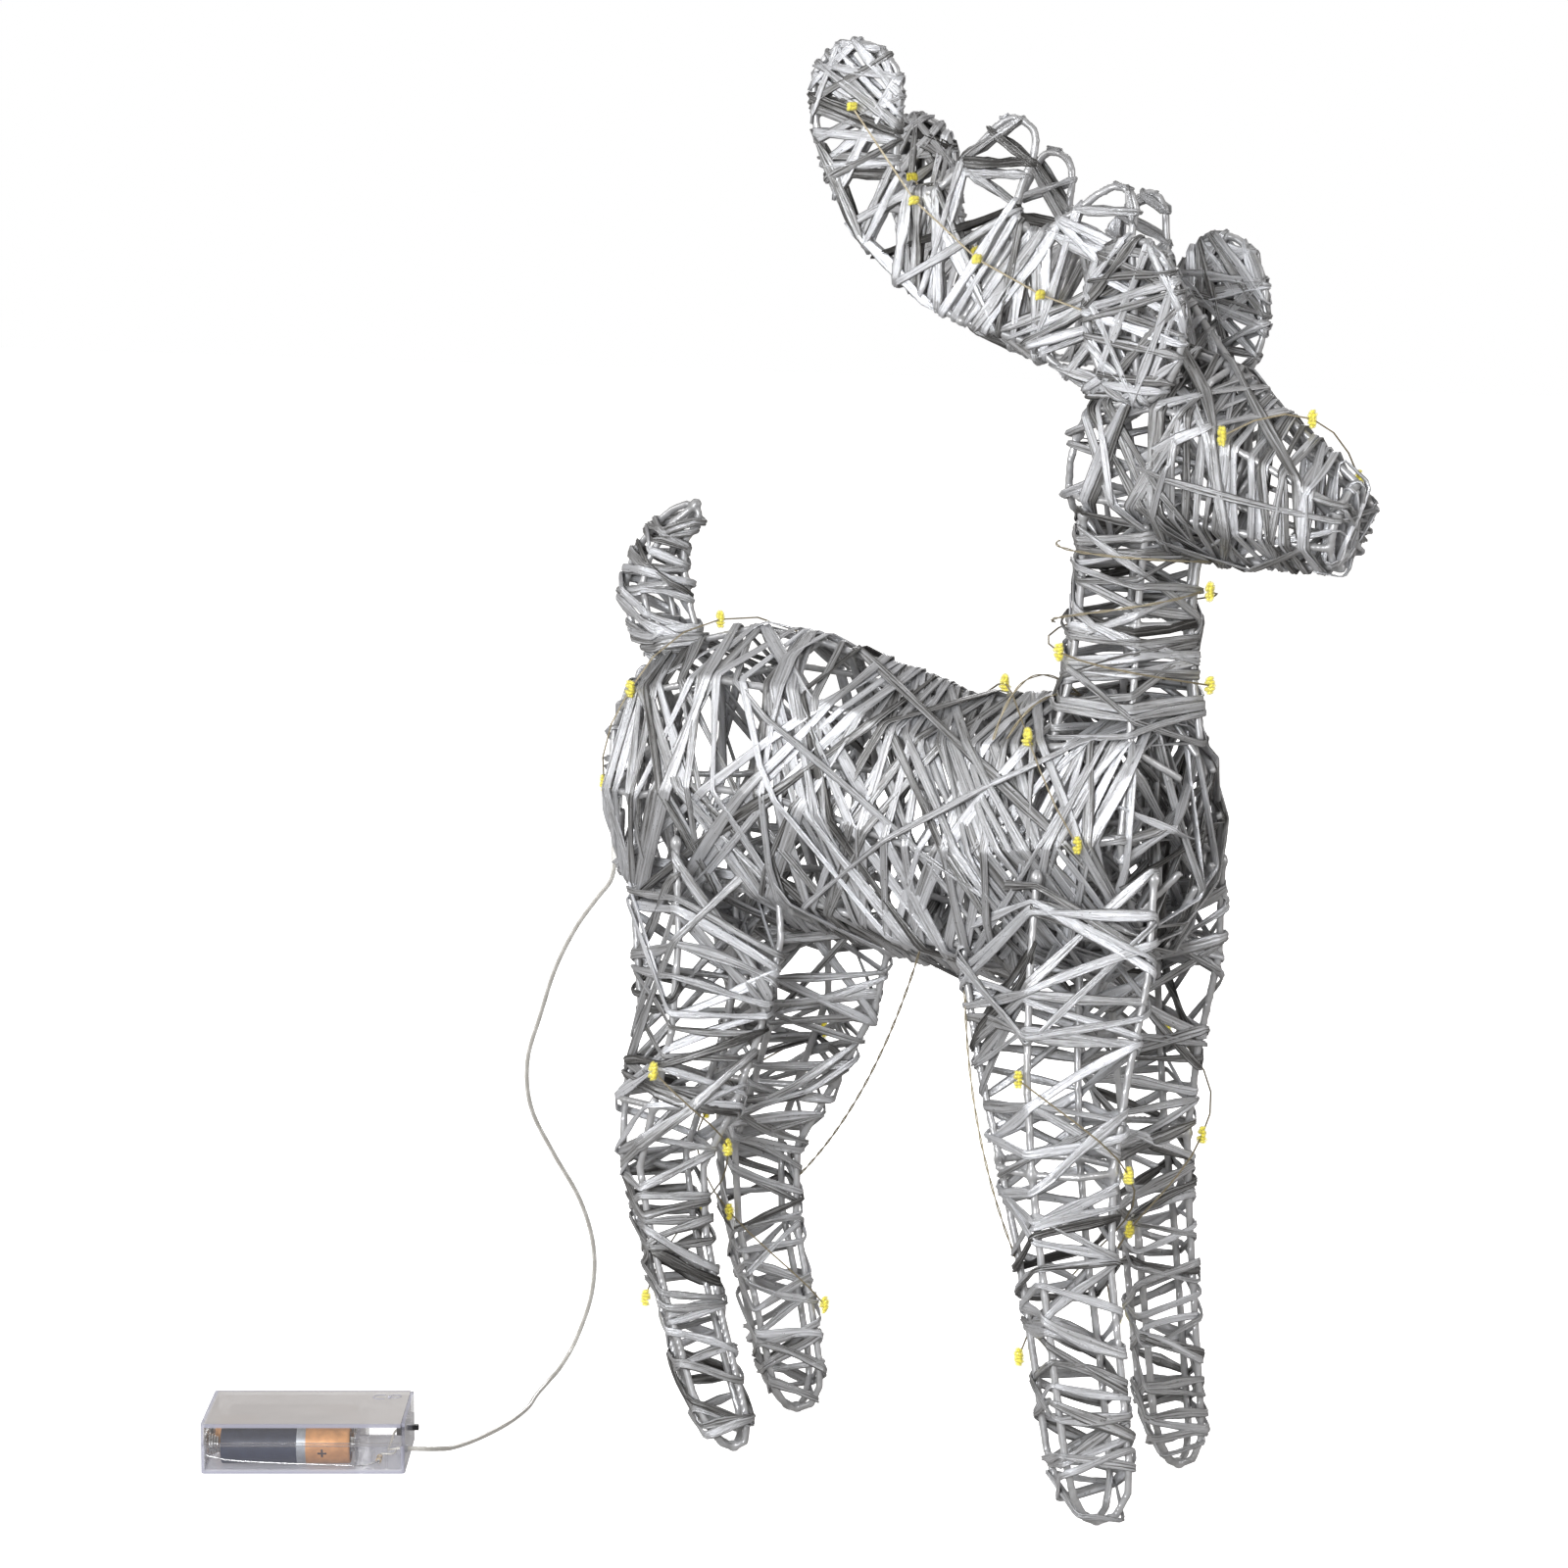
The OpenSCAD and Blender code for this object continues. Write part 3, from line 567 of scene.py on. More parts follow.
def sash(twine, limb, up, high, low, strands, lift=(0.35, 2.4)):
    """A bundle of turns side by side, over the limb at one share of its length and under it at
    another."""
    rng = twine.rng
    across = unit(np.cross(limb.axis, up))
    top = limb.edge(min(0.97, max(0.03, high)), up)
    foot = limb.edge(min(0.97, max(0.03, low)), -up)
    line = unit(top - foot)
    for strand in range(strands):
        shift = limb.axis * strand * rng.uniform(3.2, 4.6) * MM
        normal = unit(np.cross(line, across))
        twist = math.radians(rng.gauss(0, 6) + (0 if strand else rng.gauss(0, 8)))
        normal = math.cos(twist) * normal + math.sin(twist) * np.cross(line, normal)
        normal = normal + line * math.radians(rng.gauss(0, 2.5))
        twine.lay(limb, (top + foot) / 2 + shift, unit(normal), lift, (0.7, 1.25))


def fan(twine, limb, count, up, swing, tops, feet, pull=0.5, bundle=(1, 1, 2, 3), lift=(0.35, 2.4)):
    """Leaning turns in bundles: each goes over the limb near one of its tops and under it near
    one of its feet, a swing of the limb's length further along."""
    rng = twine.rng
    for k in range(count):
        high = 0.04 + 0.92 * (k + rng.random()) / count
        lean = rng.choice((-1, 1)) * rng.uniform(*swing)
        low = high + lean if 0.03 < high + lean < 0.97 else high - lean
        sash(twine, limb, up, gathered(rng, high, tops, pull), gathered(rng, low, feet, pull),
             rng.choice(bundle), lift)


def wind_long(twine, limb, count, across, swing, lift=(0.5, 1.9)):
    """Turns that run lengthwise: their planes' normals are near across, and pass off centre."""
    rng = twine.rng
    for _ in range(count):
        normal = tilted(rng, unit(np.array(across, float)), 8, swing)
        point = limb.centre(rng.uniform(0.3, 0.7))
        room = np.abs((limb.verts - point) @ normal).max()
        point = point + normal * rng.uniform(-0.7, 0.7) * room
        twine.lay(limb, point, normal, lift, (0.7, 1.05))


def wind_end(twine, limb, share, count, reach, lift=(0.4, 1.6)):
    """Turns over a limb's open end, in planes that hold its axis, spaced evenly round it."""
    rng = twine.rng
    side = unit(np.cross(limb.axis, [0.1, 0.2, 1]))
    for k in range(count):
        turn = math.pi * (k + rng.random()) / count
        normal = math.cos(turn) * side + math.sin(turn) * np.cross(limb.axis, side)
        normal = unit(normal + limb.axis * rng.gauss(0, 0.14))
        point = limb.centre(share) + normal * rng.uniform(-0.3, 0.3) * reach
        twine.lay(limb, point, normal, lift, (0.75, 1.15), reach)


class FlatLoop:
    """A flat loop of wire, read from a limb's CAD frame and the flat face of its wrap."""

    GRID = 0.02 * MM

    def __init__(self, limb):
        self.verts, self.tris = arrays(NODES[limb + "_frame"])
        self.middle = self.verts.mean(0)
        self.square, self.u, self.v = principal(self.verts)
        skin, tris = arrays(NODES[limb + "_wrap"])
        height = (skin - self.middle) @ self.square
        face = tris[(height[tris] > height.max() - 0.2 * MM).all(1)]
        flat = np.stack([(skin - self.middle) @ self.u, (skin - self.middle) @ self.v], 1)
        self.face = flat[face]
        first, second, third = self.face.transpose(1, 0, 2)
        (ax, ay), (bx, by) = (second - first).T, (third - first).T
        self.areas = np.abs(ax * by - ay * bx)
        keys = np.round(flat / self.GRID).astype(int)
        seen = {}
        for tri in face:
            for a, b in ((tri[0], tri[1]), (tri[1], tri[2]), (tri[2], tri[0])):
                edge = tuple(sorted((tuple(keys[a]), tuple(keys[b]))))
                seen[edge] = seen.get(edge, 0) + 1
        rim = [edge for edge, times in seen.items() if times == 1 and edge[0] != edge[1]]
        self.rim = np.array(rim) * self.GRID

    def place(self, rng):
        """A point inside the loop, anywhere in it with equal chance."""
        a, b, c = self.face[rng.choices(range(len(self.face)), self.areas)[0]]
        r, q = math.sqrt(rng.random()), rng.random()
        return a * (1 - r) + b * r * (1 - q) + c * r * q

    def stretch(self, point, along):
        """How far the loop reaches each way from point before its rim."""
        square = np.array([-along[1], along[0]])
        ends = self.rim - point
        side = ends @ square
        run = ends @ along
        crossing = side[:, 0] * side[:, 1] < 0
        side, run = side[crossing], run[crossing]
        t = side[:, 0] / (side[:, 0] - side[:, 1])
        places = run[:, 0] + t * (run[:, 1] - run[:, 0])
        low, high = places[places < 0], places[places > 0]
        if not len(low) or not len(high):
            return 0, 0
        return low.max(), high.min()


def crowded(placed, point, along, length, rooms):
    """Whether a band already runs close by and nearly the same way; short bands keep further
    apart, which leaves the tips of the tines open. rooms are those two distances, in
    millimetres, short bands first."""
    for other, way, other_length in placed:
        short = min(length, other_length) < 33 * MM
        room = rooms[0 if short else 1] * MM
        alike = short or abs(along @ way) > math.cos(math.radians(26))
        if alike and np.linalg.norm(point - other) < room:
            return True
    return False


def weave(twine, loop, count, rooms, choices=2, longest=66, lift=(0.3, 1.2)):
    """Bands across a flat loop of wire, each pulled round the two wires on either side of a
    place inside it. Each is the shortest of a few choices of direction."""
    rng = twine.rng
    placed = []
    for _ in range(count):
        point = loop.place(rng)
        best = None
        for _ in range(choices):
            turn = rng.uniform(0, math.pi)
            along = np.array([math.cos(turn), math.sin(turn)])
            low, high = loop.stretch(point, along)
            if best is None or high - low < best[1] - best[0]:
                best = (low, high, along)
        low, high, along = best
        centre = point + along * (low + high) / 2
        if not 13 * MM < high - low < longest * MM:
            continue
        if crowded(placed, centre, along, high - low, rooms):
            continue
        placed.append((centre, along, high - low))
        middle = loop.middle + point[0] * loop.u + point[1] * loop.v
        direction = along[0] * loop.u + along[1] * loop.v
        normal = unit(np.cross(direction, loop.square))
        for strand in range(rng.choice((1, 1, 2)) if high - low > 33 * MM else 1):
            cut = section(loop.verts, loop.tris, middle + normal * strand * 3.6 * MM, normal)
            run = (cut - middle) @ direction
            cut = cut[(run > low) & (run < high)]
            if len(cut) < 8:
                continue
            found = taut_loop(rng, cut, normal, rng.uniform(*lift) * MM, normal * 0, 0.5 * MM, 4 * MM)
            if found:
                twine.band(*found, TWINE_W * rng.uniform(0.75, 1.1), waist=0.62)
                normal = unit(normal + direction * rng.gauss(0, 0.06))


X_AXIS, Z_AXIS = np.eye(3)[0], np.eye(3)[2]
NECK_AXIS = (0.08, 0, 1)


def wind_torso(mat):
    torso = Limb("torso_frame", X_AXIS)
    twine = Twine(11)
    for high, low, strands in ((0.71, 0.9, 3), (0.58, 0.86, 4), (0.66, 0.95, 2), (0.56, 0.5, 2),
                               (0.33, 0.5, 3), (0.5, 0.3, 2), (0.2, 0.04, 3), (0.06, 0.3, 4),
                               (0.9, 0.62, 3), (0.96, 0.78, 2)):
        sash(twine, torso, Z_AXIS, high, low, strands)
    fan(twine, torso, 19, Z_AXIS, (0.1, 0.42), (0.12, 0.33, 0.55, 0.74, 0.9),
        (0.1, 0.36, 0.52, 0.67, 0.92))
    wind(twine, torso, 8, (0.02, 0.98), (4, 30), (0.5, 2.4))
    wind(twine, torso, 13, (0.16, 0.84), (38, 62), (0.8, 2.6))
    wind(twine, torso, 5, (0.84, 0.98), (15, 50), (0.5, 2.4))
    wind(twine, torso, 3, (0.03, 0.12), (5, 25), (0.5, 2.4))
    wind_end(twine, torso, 0.96, 12, 44 * MM)
    wind_end(twine, torso, 0.03, 9, 44 * MM)
    twine.build("torso", mat)


def wind_neck(mat):
    neck = Limb("neck_frame", NECK_AXIS)
    twine = Twine(12)
    wind(twine, neck, 17, (0.04, 0.97), (3, 17))
    wind(twine, neck, 9, (0.15, 0.9), (18, 38))
    twine.build("neck", mat)


def wind_head(mat):
    head = Limb("head_frame", (0.98, 0, -0.19))
    twine = Twine(13)
    for high, low, strands in ((0.04, 0.5, 5), (0.36, 0.46, 3), (0.3, 0.12, 2), (0.5, 0.58, 2),
                               (0.62, 0.68, 3), (0.72, 0.8, 4), (0.84, 0.88, 2), (0.55, 0.3, 2)):
        sash(twine, head, Z_AXIS, high, low, strands, (0.35, 1.6))
    wind(twine, head, 5, (0.3, 0.9), (3, 18))
    wind(twine, head, 6, (0.15, 0.6), (40, 62))
    wind_long(twine, head, 3, Z_AXIS, 24)
    wind_end(twine, head, 0.96, 7, 24 * MM)
    twine.build("head", mat)


def wind_tail(mat):
    tail = Limb("tail_frame")
    twine = Twine(14)
    wind(twine, tail, 19, (0.03, 0.84), (4, 28), reach=22 * MM)
    twine.build("tail", mat)


def wind_legs(mat):
    for seed, leg in enumerate(("front_right", "front_left", "rear_right", "rear_left")):
        limb = Limb(leg + "_leg_frame")
        twine = Twine(21 + seed)
        wind(twine, limb, 25, (0.03, 0.6), (16, 38), reach=60 * MM)
        wind(twine, limb, 9, (0.57, 0.86), (12, 42), reach=75 * MM)
        wind(twine, limb, 10, (0.78, 0.97), (36, 62), reach=75 * MM)
        twine.build(leg + "_leg", mat)


def wind_antlers_and_ears(mat):
    for turn, side in enumerate(("right", "left")):
        for part, seed, count, rooms in (("_antler", 31, 330, (8, 6)), ("_ear", 41, 60, (6.5, 5.5))):
            twine = Twine(seed + turn)
            weave(twine, FlatLoop(side + part), count, rooms)
            twine.build(side + part, mat)


def wind_all():
    mat = twine_material()
    for wind_limb in (wind_torso, wind_neck, wind_head, wind_tail, wind_legs, wind_antlers_and_ears):
        wind_limb(mat)


# ---- cage wire

def round_wires():
    """The CAD rods, rounded and with soft weld beads, in grey paint."""
    mat = wire_material()
    for name, obj in NODES.items():
        if not name.endswith("_frame"):
            continue
        set_material(obj, mat)
        remesh = obj.modifiers.new("round", "REMESH")
        remesh.mode = "VOXEL"
        remesh.voxel_size = 0.75 * MM
        remesh.use_smooth_shade = True
        smooth = obj.modifiers.new("smooth", "SMOOTH")
        smooth.factor = 0.5
        smooth.iterations = 4
        grow = obj.modifiers.new("grow", "DISPLACE")
        grow.mid_level = 0
        grow.strength = 0.4 * MM


# ---- lead

# The lead's route, as part.scad has it, from the sleeve at the rump to the box's end wall
LEAD_ROUTE = [
    (-156, 0, 220), (-158, 0, 212), (-165, 0, 204), (-175, 0, 192), (-185, 0, 175), (-195, 5, 155),
    (-203, 5, 135), (-205, 10, 115), (-200, 20, 95), (-193, 30, 75), (-190, 35, 55), (-193, 38, 35),
    (-200, 36, 15), (-204, 30, 4), (-202, 18, 1.2), (-195, 0, 1.2), (-185, -20, 1.2),
    (-178, -45, 1.2), (-175, -70, 1.2), (-172, -90, 3), (-170, -102, 6), (-170, -109, 7.6),
    (-174, -112.5, 8), (-177, -114.4, 8),
]


def smooth_points(points, steps):
    """A Catmull-Rom curve through points."""
    p = np.array(points, float)
    padded = np.concatenate([p[:1], p, p[-1:]])
    found = []
    for a, b, c, d in zip(padded, padded[1:], padded[2:], padded[3:]):
        for k in range(steps):
            t = k / steps
            found.append(0.5 * (2 * b + (c - a) * t + (2 * a - 5 * b + 4 * c - d) * t ** 2
                                + (3 * b - a - 3 * c + d) * t ** 3))
    return np.array(found + [p[-1]])


def carried_frames(path):
    """Two directions square to a path at each point, carried along it without twisting."""
    ahead = np.concatenate([path[1:], path[-1:]]) - np.concatenate([path[:1], path[:-1]])
    ahead = unit(ahead)
    side = np.cross(ahead[0], [0.37, 0.21, 0.91])
    sides = []
    for direction in ahead:
        side = side - (side @ direction) * direction
        side = side / np.linalg.norm(side)
        sides.append(side)
    sides = np.array(sides)
    return sides, np.cross(ahead, sides)


def ring_faces(rings, corners, start=0):
    """Quads between rings of corners."""
    faces = []
    for i in range(rings - 1):
        for k in range(corners):
            a = start + i * corners + k
            b = start + i * corners + (k + 1) % corners
            faces.append((a, b, b + corners, a + corners))
    return faces


def tube(name, path, radius, mat, body=DEER, corners=12):
    """A round wire or cord along a path, with closed ends."""
    sides, ups = carried_frames(path)
    angles = np.arange(corners) * 2 * math.pi / corners
    ring = np.cos(angles)[:, None, None] * sides + np.sin(angles)[:, None, None] * ups
    verts = (path + radius * ring).transpose(1, 0, 2).reshape(-1, 3)
    faces = ring_faces(len(path), corners)
    last = (len(path) - 1) * corners
    faces.append(tuple(reversed(range(corners))))
    faces.append(tuple(range(last, last + corners)))
    mesh = bpy.data.meshes.new(name)
    mesh.from_pydata(verts.tolist(), [], faces)
    mesh.polygons.foreach_set("use_smooth", np.ones(len(faces), bool))
    obj = new_object(name, mesh, body)
    set_material(obj, mat)
    return obj


def eased(points):
    """A path with its kinks eased a little, its ends and the points beside them kept."""
    p = np.array(points, float)
    p[2:-2] = (p[1:-3] + 6 * p[2:-2] + p[3:-1]) / 8
    return p


def make_lead():
    points = smooth_points(eased(LEAD_ROUTE), 6) * MM
    clear = clear_material("clear_pvc", (0.56, 0.54, 0.50), 0.6, 0.95)
    lead = tube("clear_lead", points, LEAD_D / 2, clear)
    sides, ups = carried_frames(points)
    turn = np.linspace(0, 2 * math.pi * 26, len(points))[:, None]
    off = 0.33 * MM * (np.cos(turn) * sides + np.sin(turn) * ups)
    silver = metal_material("tinned_core", (0.62, 0.60, 0.56), 0.35)
    cores = [tube(f"lead_core_{k + 1}", points + way * off, 0.3 * MM, silver, corners=6)
             for k, way in enumerate((1, -1))]
    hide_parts("lead")


# ---- micro light string

COPPER = (0.42, 0.37, 0.27)


def bowed(start, end, bow, points=72):
    """A path from start to end that stands off the straight line by bow at its middle."""
    t = np.linspace(0, 1, points)[:, None]
    return start + (end - start) * t + 4 * t * (1 - t) * np.array(bow) * MM


def turned(limb, share, first, last, lift, climb, points=72):
    """A path round an upright limb, lift outside its cage, from one angle to another in degrees
    from straight ahead, that climbs on the way. Both distances are in millimetres."""
    cut = limb.cut(share)
    half = (cut.max(0) - cut.min(0)) / 2 + lift * MM
    angle = np.radians(np.linspace(first, last, points))
    ring = np.stack([half[0] * np.cos(angle), half[1] * np.sin(angle), 0 * angle], -1)
    ring[:, 2] = np.linspace(0, climb, points) * MM
    return limb.centre(share) + ring


def loose_runs():
    """Runs of the micro wire that stand off the twine, each from one limb's cage to another's or
    round the neck."""
    x, y, z = np.eye(3)
    torso, neck = Limb("torso_frame", x), Limb("neck_frame", NECK_AXIS)
    front, rear = Limb("front_right_leg_frame"), Limb("rear_left_leg_frame")
    shoulder, back = unit(2 * z - y), torso.edge(0.8, z)
    return {
        "belly_span": bowed(torso.edge(0.6, unit(-y - z)), rear.edge(0.4, x), (4, 0, -6)),
        "withers_loop": bowed(torso.edge(0.72, shoulder), back, (0, -6, 16)),
        "withers_hoop": bowed(torso.edge(0.74, shoulder), back, (4, -10, 8)),
        "neck_turn": turned(neck, 0.5, -170, -10, 5, 14),
        "throat_turn": turned(neck, 0.85, -170, -10, 5, -5),
        "front_leg_run": bowed(front.edge(0.8, -x), front.edge(0.4, -x), (2, -12, 0)),
    }


def islands(obj):
    """The separate pieces of a mesh, each as its vertices. The triangles of a CAD node aren't
    joined, so each of them is a piece."""
    verts, tris = arrays(obj)
    group = np.arange(len(verts))
    changed = True
    while changed:
        low = group[tris].min(1)
        before = group.copy()
        for k in range(3):
            np.minimum.at(group, tris[:, k], low)
        changed = (group != before).any()
    return [verts[group == g] for g in np.unique(group)]


def lathe(profile, corners=32):
    """Rings of points round the X axis through (x, radius) places."""
    x, r = np.array(profile, float).T
    turn = np.arange(corners) * 2 * math.pi / corners
    rings = np.stack([
        np.repeat(x[:, None], corners, 1), r[:, None] * np.cos(turn), r[:, None] * np.sin(turn),
    ], -1)
    return rings


def lathe_faces(rings, start=0):
    return [(a, d, c, b) for a, b, c, d in ring_faces(*rings.shape[:2], start)]


def epoxy_material():
    mat, bsdf, tree = material("clear_epoxy", (0.80, 0.74, 0.20), 0.05, Alpha=0.4, IOR=1.5)
    bump(tree, bsdf, noise(tree, object_coords(tree), 500, 2.0), 0.3, 0.05 * MM)
    return mat


def glowing_chip_material():
    # Painted glow: the chips give out a faint light in their own yellow so that they look brighter.
    # The yellow itself is the chips' own colour.
    mat, bsdf, tree = material("yellow_chip", (0.80, 0.66, 0.05), 0.4, Emission_Strength=0.55)
    color = ramp(tree, noise(tree, object_coords(tree), 700, 2.0),
                 [(0.35, (0.70, 0.56, 0.01)), (0.65, (0.92, 0.84, 0.05))])
    tree.links.new(color, bsdf.inputs["Base Color"])
    tree.links.new(color, bsdf.inputs["Emission Color"])
    return mat


def light_basis(rng, wire, middle):
    """A light's directions: one roughly along the wire beside it, and two square to that."""
    near = wire[np.argsort(np.linalg.norm(wire - middle, axis=1))[:12]]
    axis = unit(principal(near)[2] + np.array([rng.gauss(0, 0.15) for _ in range(3)]))
    side = unit(np.cross(axis, [0.2, 0.9, 0.4]))
    return np.stack([axis, side, np.cross(axis, side)])


def make_lights():
    """Drops of clear epoxy over yellow chips, one of each on every triangle of a CAD drop, so
    that they overlap into one lumpy light."""
    rng = random.Random(51)
    drops, chips = [], []
    drop_faces, chip_faces = [], []
    drop_profile = [(-1, 0.0), (-0.96, 0.22), (-0.8, 0.55), (-0.5, 0.85), (-0.1, 1.0), (0.3, 0.97),
                    (0.65, 0.72), (0.88, 0.42), (0.97, 0.2), (1, 0.0)]
    chip_profile = [(-1, 0.0), (-1, 0.6), (-0.85, 0.85), (0.85, 0.85), (1, 0.6), (1, 0.0)]
    wire = arrays(NODES["micro_wire"])[0]
    for points in islands(NODES["light_drops"]):
        middle = (points.min(0) + points.max(0)) / 2
        basis = light_basis(rng, wire, middle)
        wobble = 1 + 0.12 * np.array([rng.gauss(0, 1) for _ in range(3)])
        for verts, faces, profile, corners, size in (
            (drops, drop_faces, drop_profile, 16, (1.5, 0.9)),
            (chips, chip_faces, chip_profile, 8, (0.65, 0.45)),
        ):
            rings = lathe([(x * size[0], r * size[1]) for x, r in profile], corners)
            start = sum(len(v) for v in verts)
            faces.extend(lathe_faces(rings, start))
            local = rings.reshape(-1, 3) * np.clip(wobble, 0.85, 1.15) * MM
            verts.append(middle + local @ basis)
    for name, verts, faces, mat in (
        ("epoxy_drops", drops, drop_faces, epoxy_material()),
        ("led_chips", chips, chip_faces, glowing_chip_material()),
    ):
        mesh = bpy.data.meshes.new(name)
        mesh.from_pydata(np.concatenate(verts).tolist(), [], faces)
        tidy(mesh)
        obj = new_object(name, mesh)
        set_material(obj, mat)
        if name == "epoxy_drops":
            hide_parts("light_drops")


def tidy(mesh, apart=0.002):
    """Merges the points at the poles, drops flat faces and shades the rest smooth."""
    shape = bmesh.new()
    shape.from_mesh(mesh)
    bmesh.ops.remove_doubles(shape, verts=shape.verts, dist=apart * MM)
    bmesh.ops.dissolve_degenerate(shape, edges=shape.edges, dist=apart * MM)
    bmesh.ops.recalc_face_normals(shape, faces=shape.faces)
    shape.to_mesh(mesh)
    shape.free()
    mesh.polygons.foreach_set("use_smooth", np.ones(len(mesh.polygons), bool))


def make_micro_wire():
    copper = metal_material("coppery_wire", COPPER, 0.6, 1500)
    set_material(NODES["micro_wire"], copper)
    thin = NODES["micro_wire"].modifiers.new("thin", "DISPLACE")
    thin.mid_level = 0
    thin.strength = -0.1 * MM
    for name, path in loose_runs().items():
        sides, ups = carried_frames(path)
        length = np.linalg.norm(np.diff(path, axis=0), axis=1).sum()
        turn = np.linspace(0, 2 * math.pi * length / (18 * MM), len(path))[:, None]
        off = 0.28 * MM * (np.cos(turn) * sides + np.sin(turn) * ups)
        for strand, way in enumerate((1, -1)):
            piece = tube(f"{name}_{strand + 1}", path + way * off, 0.24 * MM, copper, corners=6)


# ---- battery box

BOX_PLACE = (-218.6, -118.0)
BOX_TURN = math.radians(32)
BOX_SIZE = (77.0, 51.0, 19.0)
WALL = 1.3
CELL_R = 7.1
CELL_L = 50.5
CELL_Y = (9.9, 25.5, 41.1)
CELL_Z = 8.7
BAY_END = 58.1

BUS_ROUTE = [(2, 2.4, 6.5), (4, 2.1, 6), (12, 2, 4.6), (30, 2, 3.6), (52, 2, 2.8), (59, 2.2, 2.5),
             (63, 4, 2.6), (66.5, 6.4, 3)]
INNER_ROUTES = [
    [(76, 6.05, 8), (73, 6.1, 8), (71, 9, 7), (69.5, 16, 5), (69.5, 30, 4), (70, 37, 5.5),
     (70.9, 39, 6.5)],
    [(76, 6.95, 8), (73.6, 7.2, 8), (72.6, 11, 5.4), (70.5, 16.5, 3.2), (66.5, 17.2, 3)],
    [(70.9, 43.5, 6.5), (68, 44, 7.5), (63, 42, 9), (59.5, 41, 9.5), (58.2, 41, 9.5)],
]


def in_box(points):
    """Points in the box's own frame, in millimetres, carried to their place in metres."""
    p = np.asarray(points, float) - np.array([BOX_SIZE[0] / 2, BOX_SIZE[1] / 2, 0])
    c, s = math.cos(BOX_TURN), math.sin(BOX_TURN)
    out = np.stack([
        BOX_PLACE[0] + c * p[..., 0] - s * p[..., 1], BOX_PLACE[1] + s * p[..., 0] + c * p[..., 1],
        p[..., 2],
    ], -1)
    return out * MM


def box_mesh(name, verts, faces, mats, body=DEER, which=None):
    """A piece of the box from points in the box's own frame."""
    mesh = bpy.data.meshes.new(name)
    mesh.from_pydata(in_box(verts).tolist(), [], faces)
    if which is not None:
        mesh.polygons.foreach_set("material_index", which)
    for mat in mats:
        mesh.materials.append(mat)
    tidy(mesh)
    return new_object(name, mesh, body)


def jacket_material(name, color, roughness=0.3, metallic=0.35):
    """Printed film on a cell, with a faint mottle under a gloss coat."""
    mat, bsdf, tree = material(name, color, roughness, metallic, Coat_Weight=0.1)
    place = object_coords(tree)
    dark = tuple(0.8 * c for c in color)
    light = tuple(min(1, 1.15 * c) for c in color)
    mottle = noise(tree, place, 300, 3.0)
    tree.links.new(ramp(tree, mottle, [(0.3, dark), (0.7, light)]), bsdf.inputs["Base Color"])
    bump(tree, bsdf, mottle, 0.15, 0.03 * MM)
    return mat


def make_cells():
    """Three AA cells: navy body, silver band, copper end, bare steel ends and nub."""
    mats = [
        jacket_material("navy_film", (0.026, 0.032, 0.055), 0.5, 0.2),
        jacket_material("silver_film", (0.42, 0.44, 0.47), 0.45, 0.6),
        jacket_material("copper_film", (0.62, 0.31, 0.13), 0.5, 0.35),
        metal_material("cell_steel", (0.62, 0.62, 0.62), 0.28),
    ]
    r = CELL_R
    profile = [
        (0.3, 0), (0.3, 4.9), (0.05, 5.2), (0, 5.5), (0, 6.2), (0.12, 6.75), (0.5, r), (10, r),
        (20, r), (28.8, r), (28.81, r), (32.2, r), (32.21, r), (40, r), (48.2, r), (48.8, 6.8),
        (48.95, 6.3), (48.8, 5.9), (48.6, 5.7), (48.6, 3.4), (48.8, 2.95), (49.1, 2.75),
        (50.1, 2.7), (50.4, 2.5), (CELL_L, 2.1), (CELL_L, 0),
    ]
    cells = []
    for name, y, flipped in (("front", CELL_Y[0], False), ("middle", CELL_Y[1], True),
                             ("back", CELL_Y[2], False)):
        rings = lathe(profile, 56)
        faces = lathe_faces(rings)
        places = [0.5 * (a[0] + b[0]) for a, b in zip(profile, profile[1:])]
        bands = []
        for k, place in enumerate(places):
            if k < 4 or k >= 18:
                bands.append(3)
            elif place < 28.8:
                bands.append(0)
            elif place < 32.2:
                bands.append(1)
            else:
                bands.append(2)
        which = np.repeat(bands, 56)
        verts = rings.reshape(-1, 3).copy()
        start = 7.0
        if flipped:
            verts[:, :2] *= -1
            start = WALL + 0.6 + CELL_L
        verts += np.array([start, y, CELL_Z])
        cell = box_mesh(name + "_aa_cell", verts, faces, mats, which=which)
        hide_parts(name + "_cell")
        marks = plus_sign(name + "_plus_sign", start, y, flipped)
        cells += [cell, marks]
    return cells


def plus_sign(name, start, y, flipped):
    """A plus sign printed on a cell's copper end, as thin film that follows its round side."""
    verts, faces = [], []
    way = -1 if flipped else 1
    for half_x, half_a in ((1.7, 0.055), (0.38, 0.24)):
        first = len(verts)
        n = 7
        for i in range(n):
            for j in range(n):
                x = 38.5 + half_x * (2 * i / (n - 1) - 1)
                a = math.radians(194) + half_a * (2 * j / (n - 1) - 1)
                r = CELL_R + 0.035
                verts.append((start + way * x, y + r * math.cos(a), CELL_Z + r * math.sin(a)))
        for i in range(n - 1):
            for j in range(n - 1):
                k = first + i * n + j
                faces.append((k, k + n, k + n + 1, k + 1))
    ink = jacket_material("dark_print", (0.05, 0.035, 0.03), 0.4, 0.0)
    obj = box_mesh(name, verts, faces, [ink])
    solid = obj.modifiers.new("film", "SOLIDIFY")
    solid.thickness = 0.03 * MM
    return obj


def spring_line(start, y, way, length, turns=4):
    """A conical coil's centre line from its seat towards the cell, in the box's own frame."""
    points = []
    for k in range(turns * 20 + 1):
        t = k / turns / 20
        r = 4.2 - 1.7 * t
        a = 2 * math.pi * turns * t
        points.append((start + way * length * t, y + way * r * math.cos(a), CELL_Z + r * math.sin(a)))
    return points


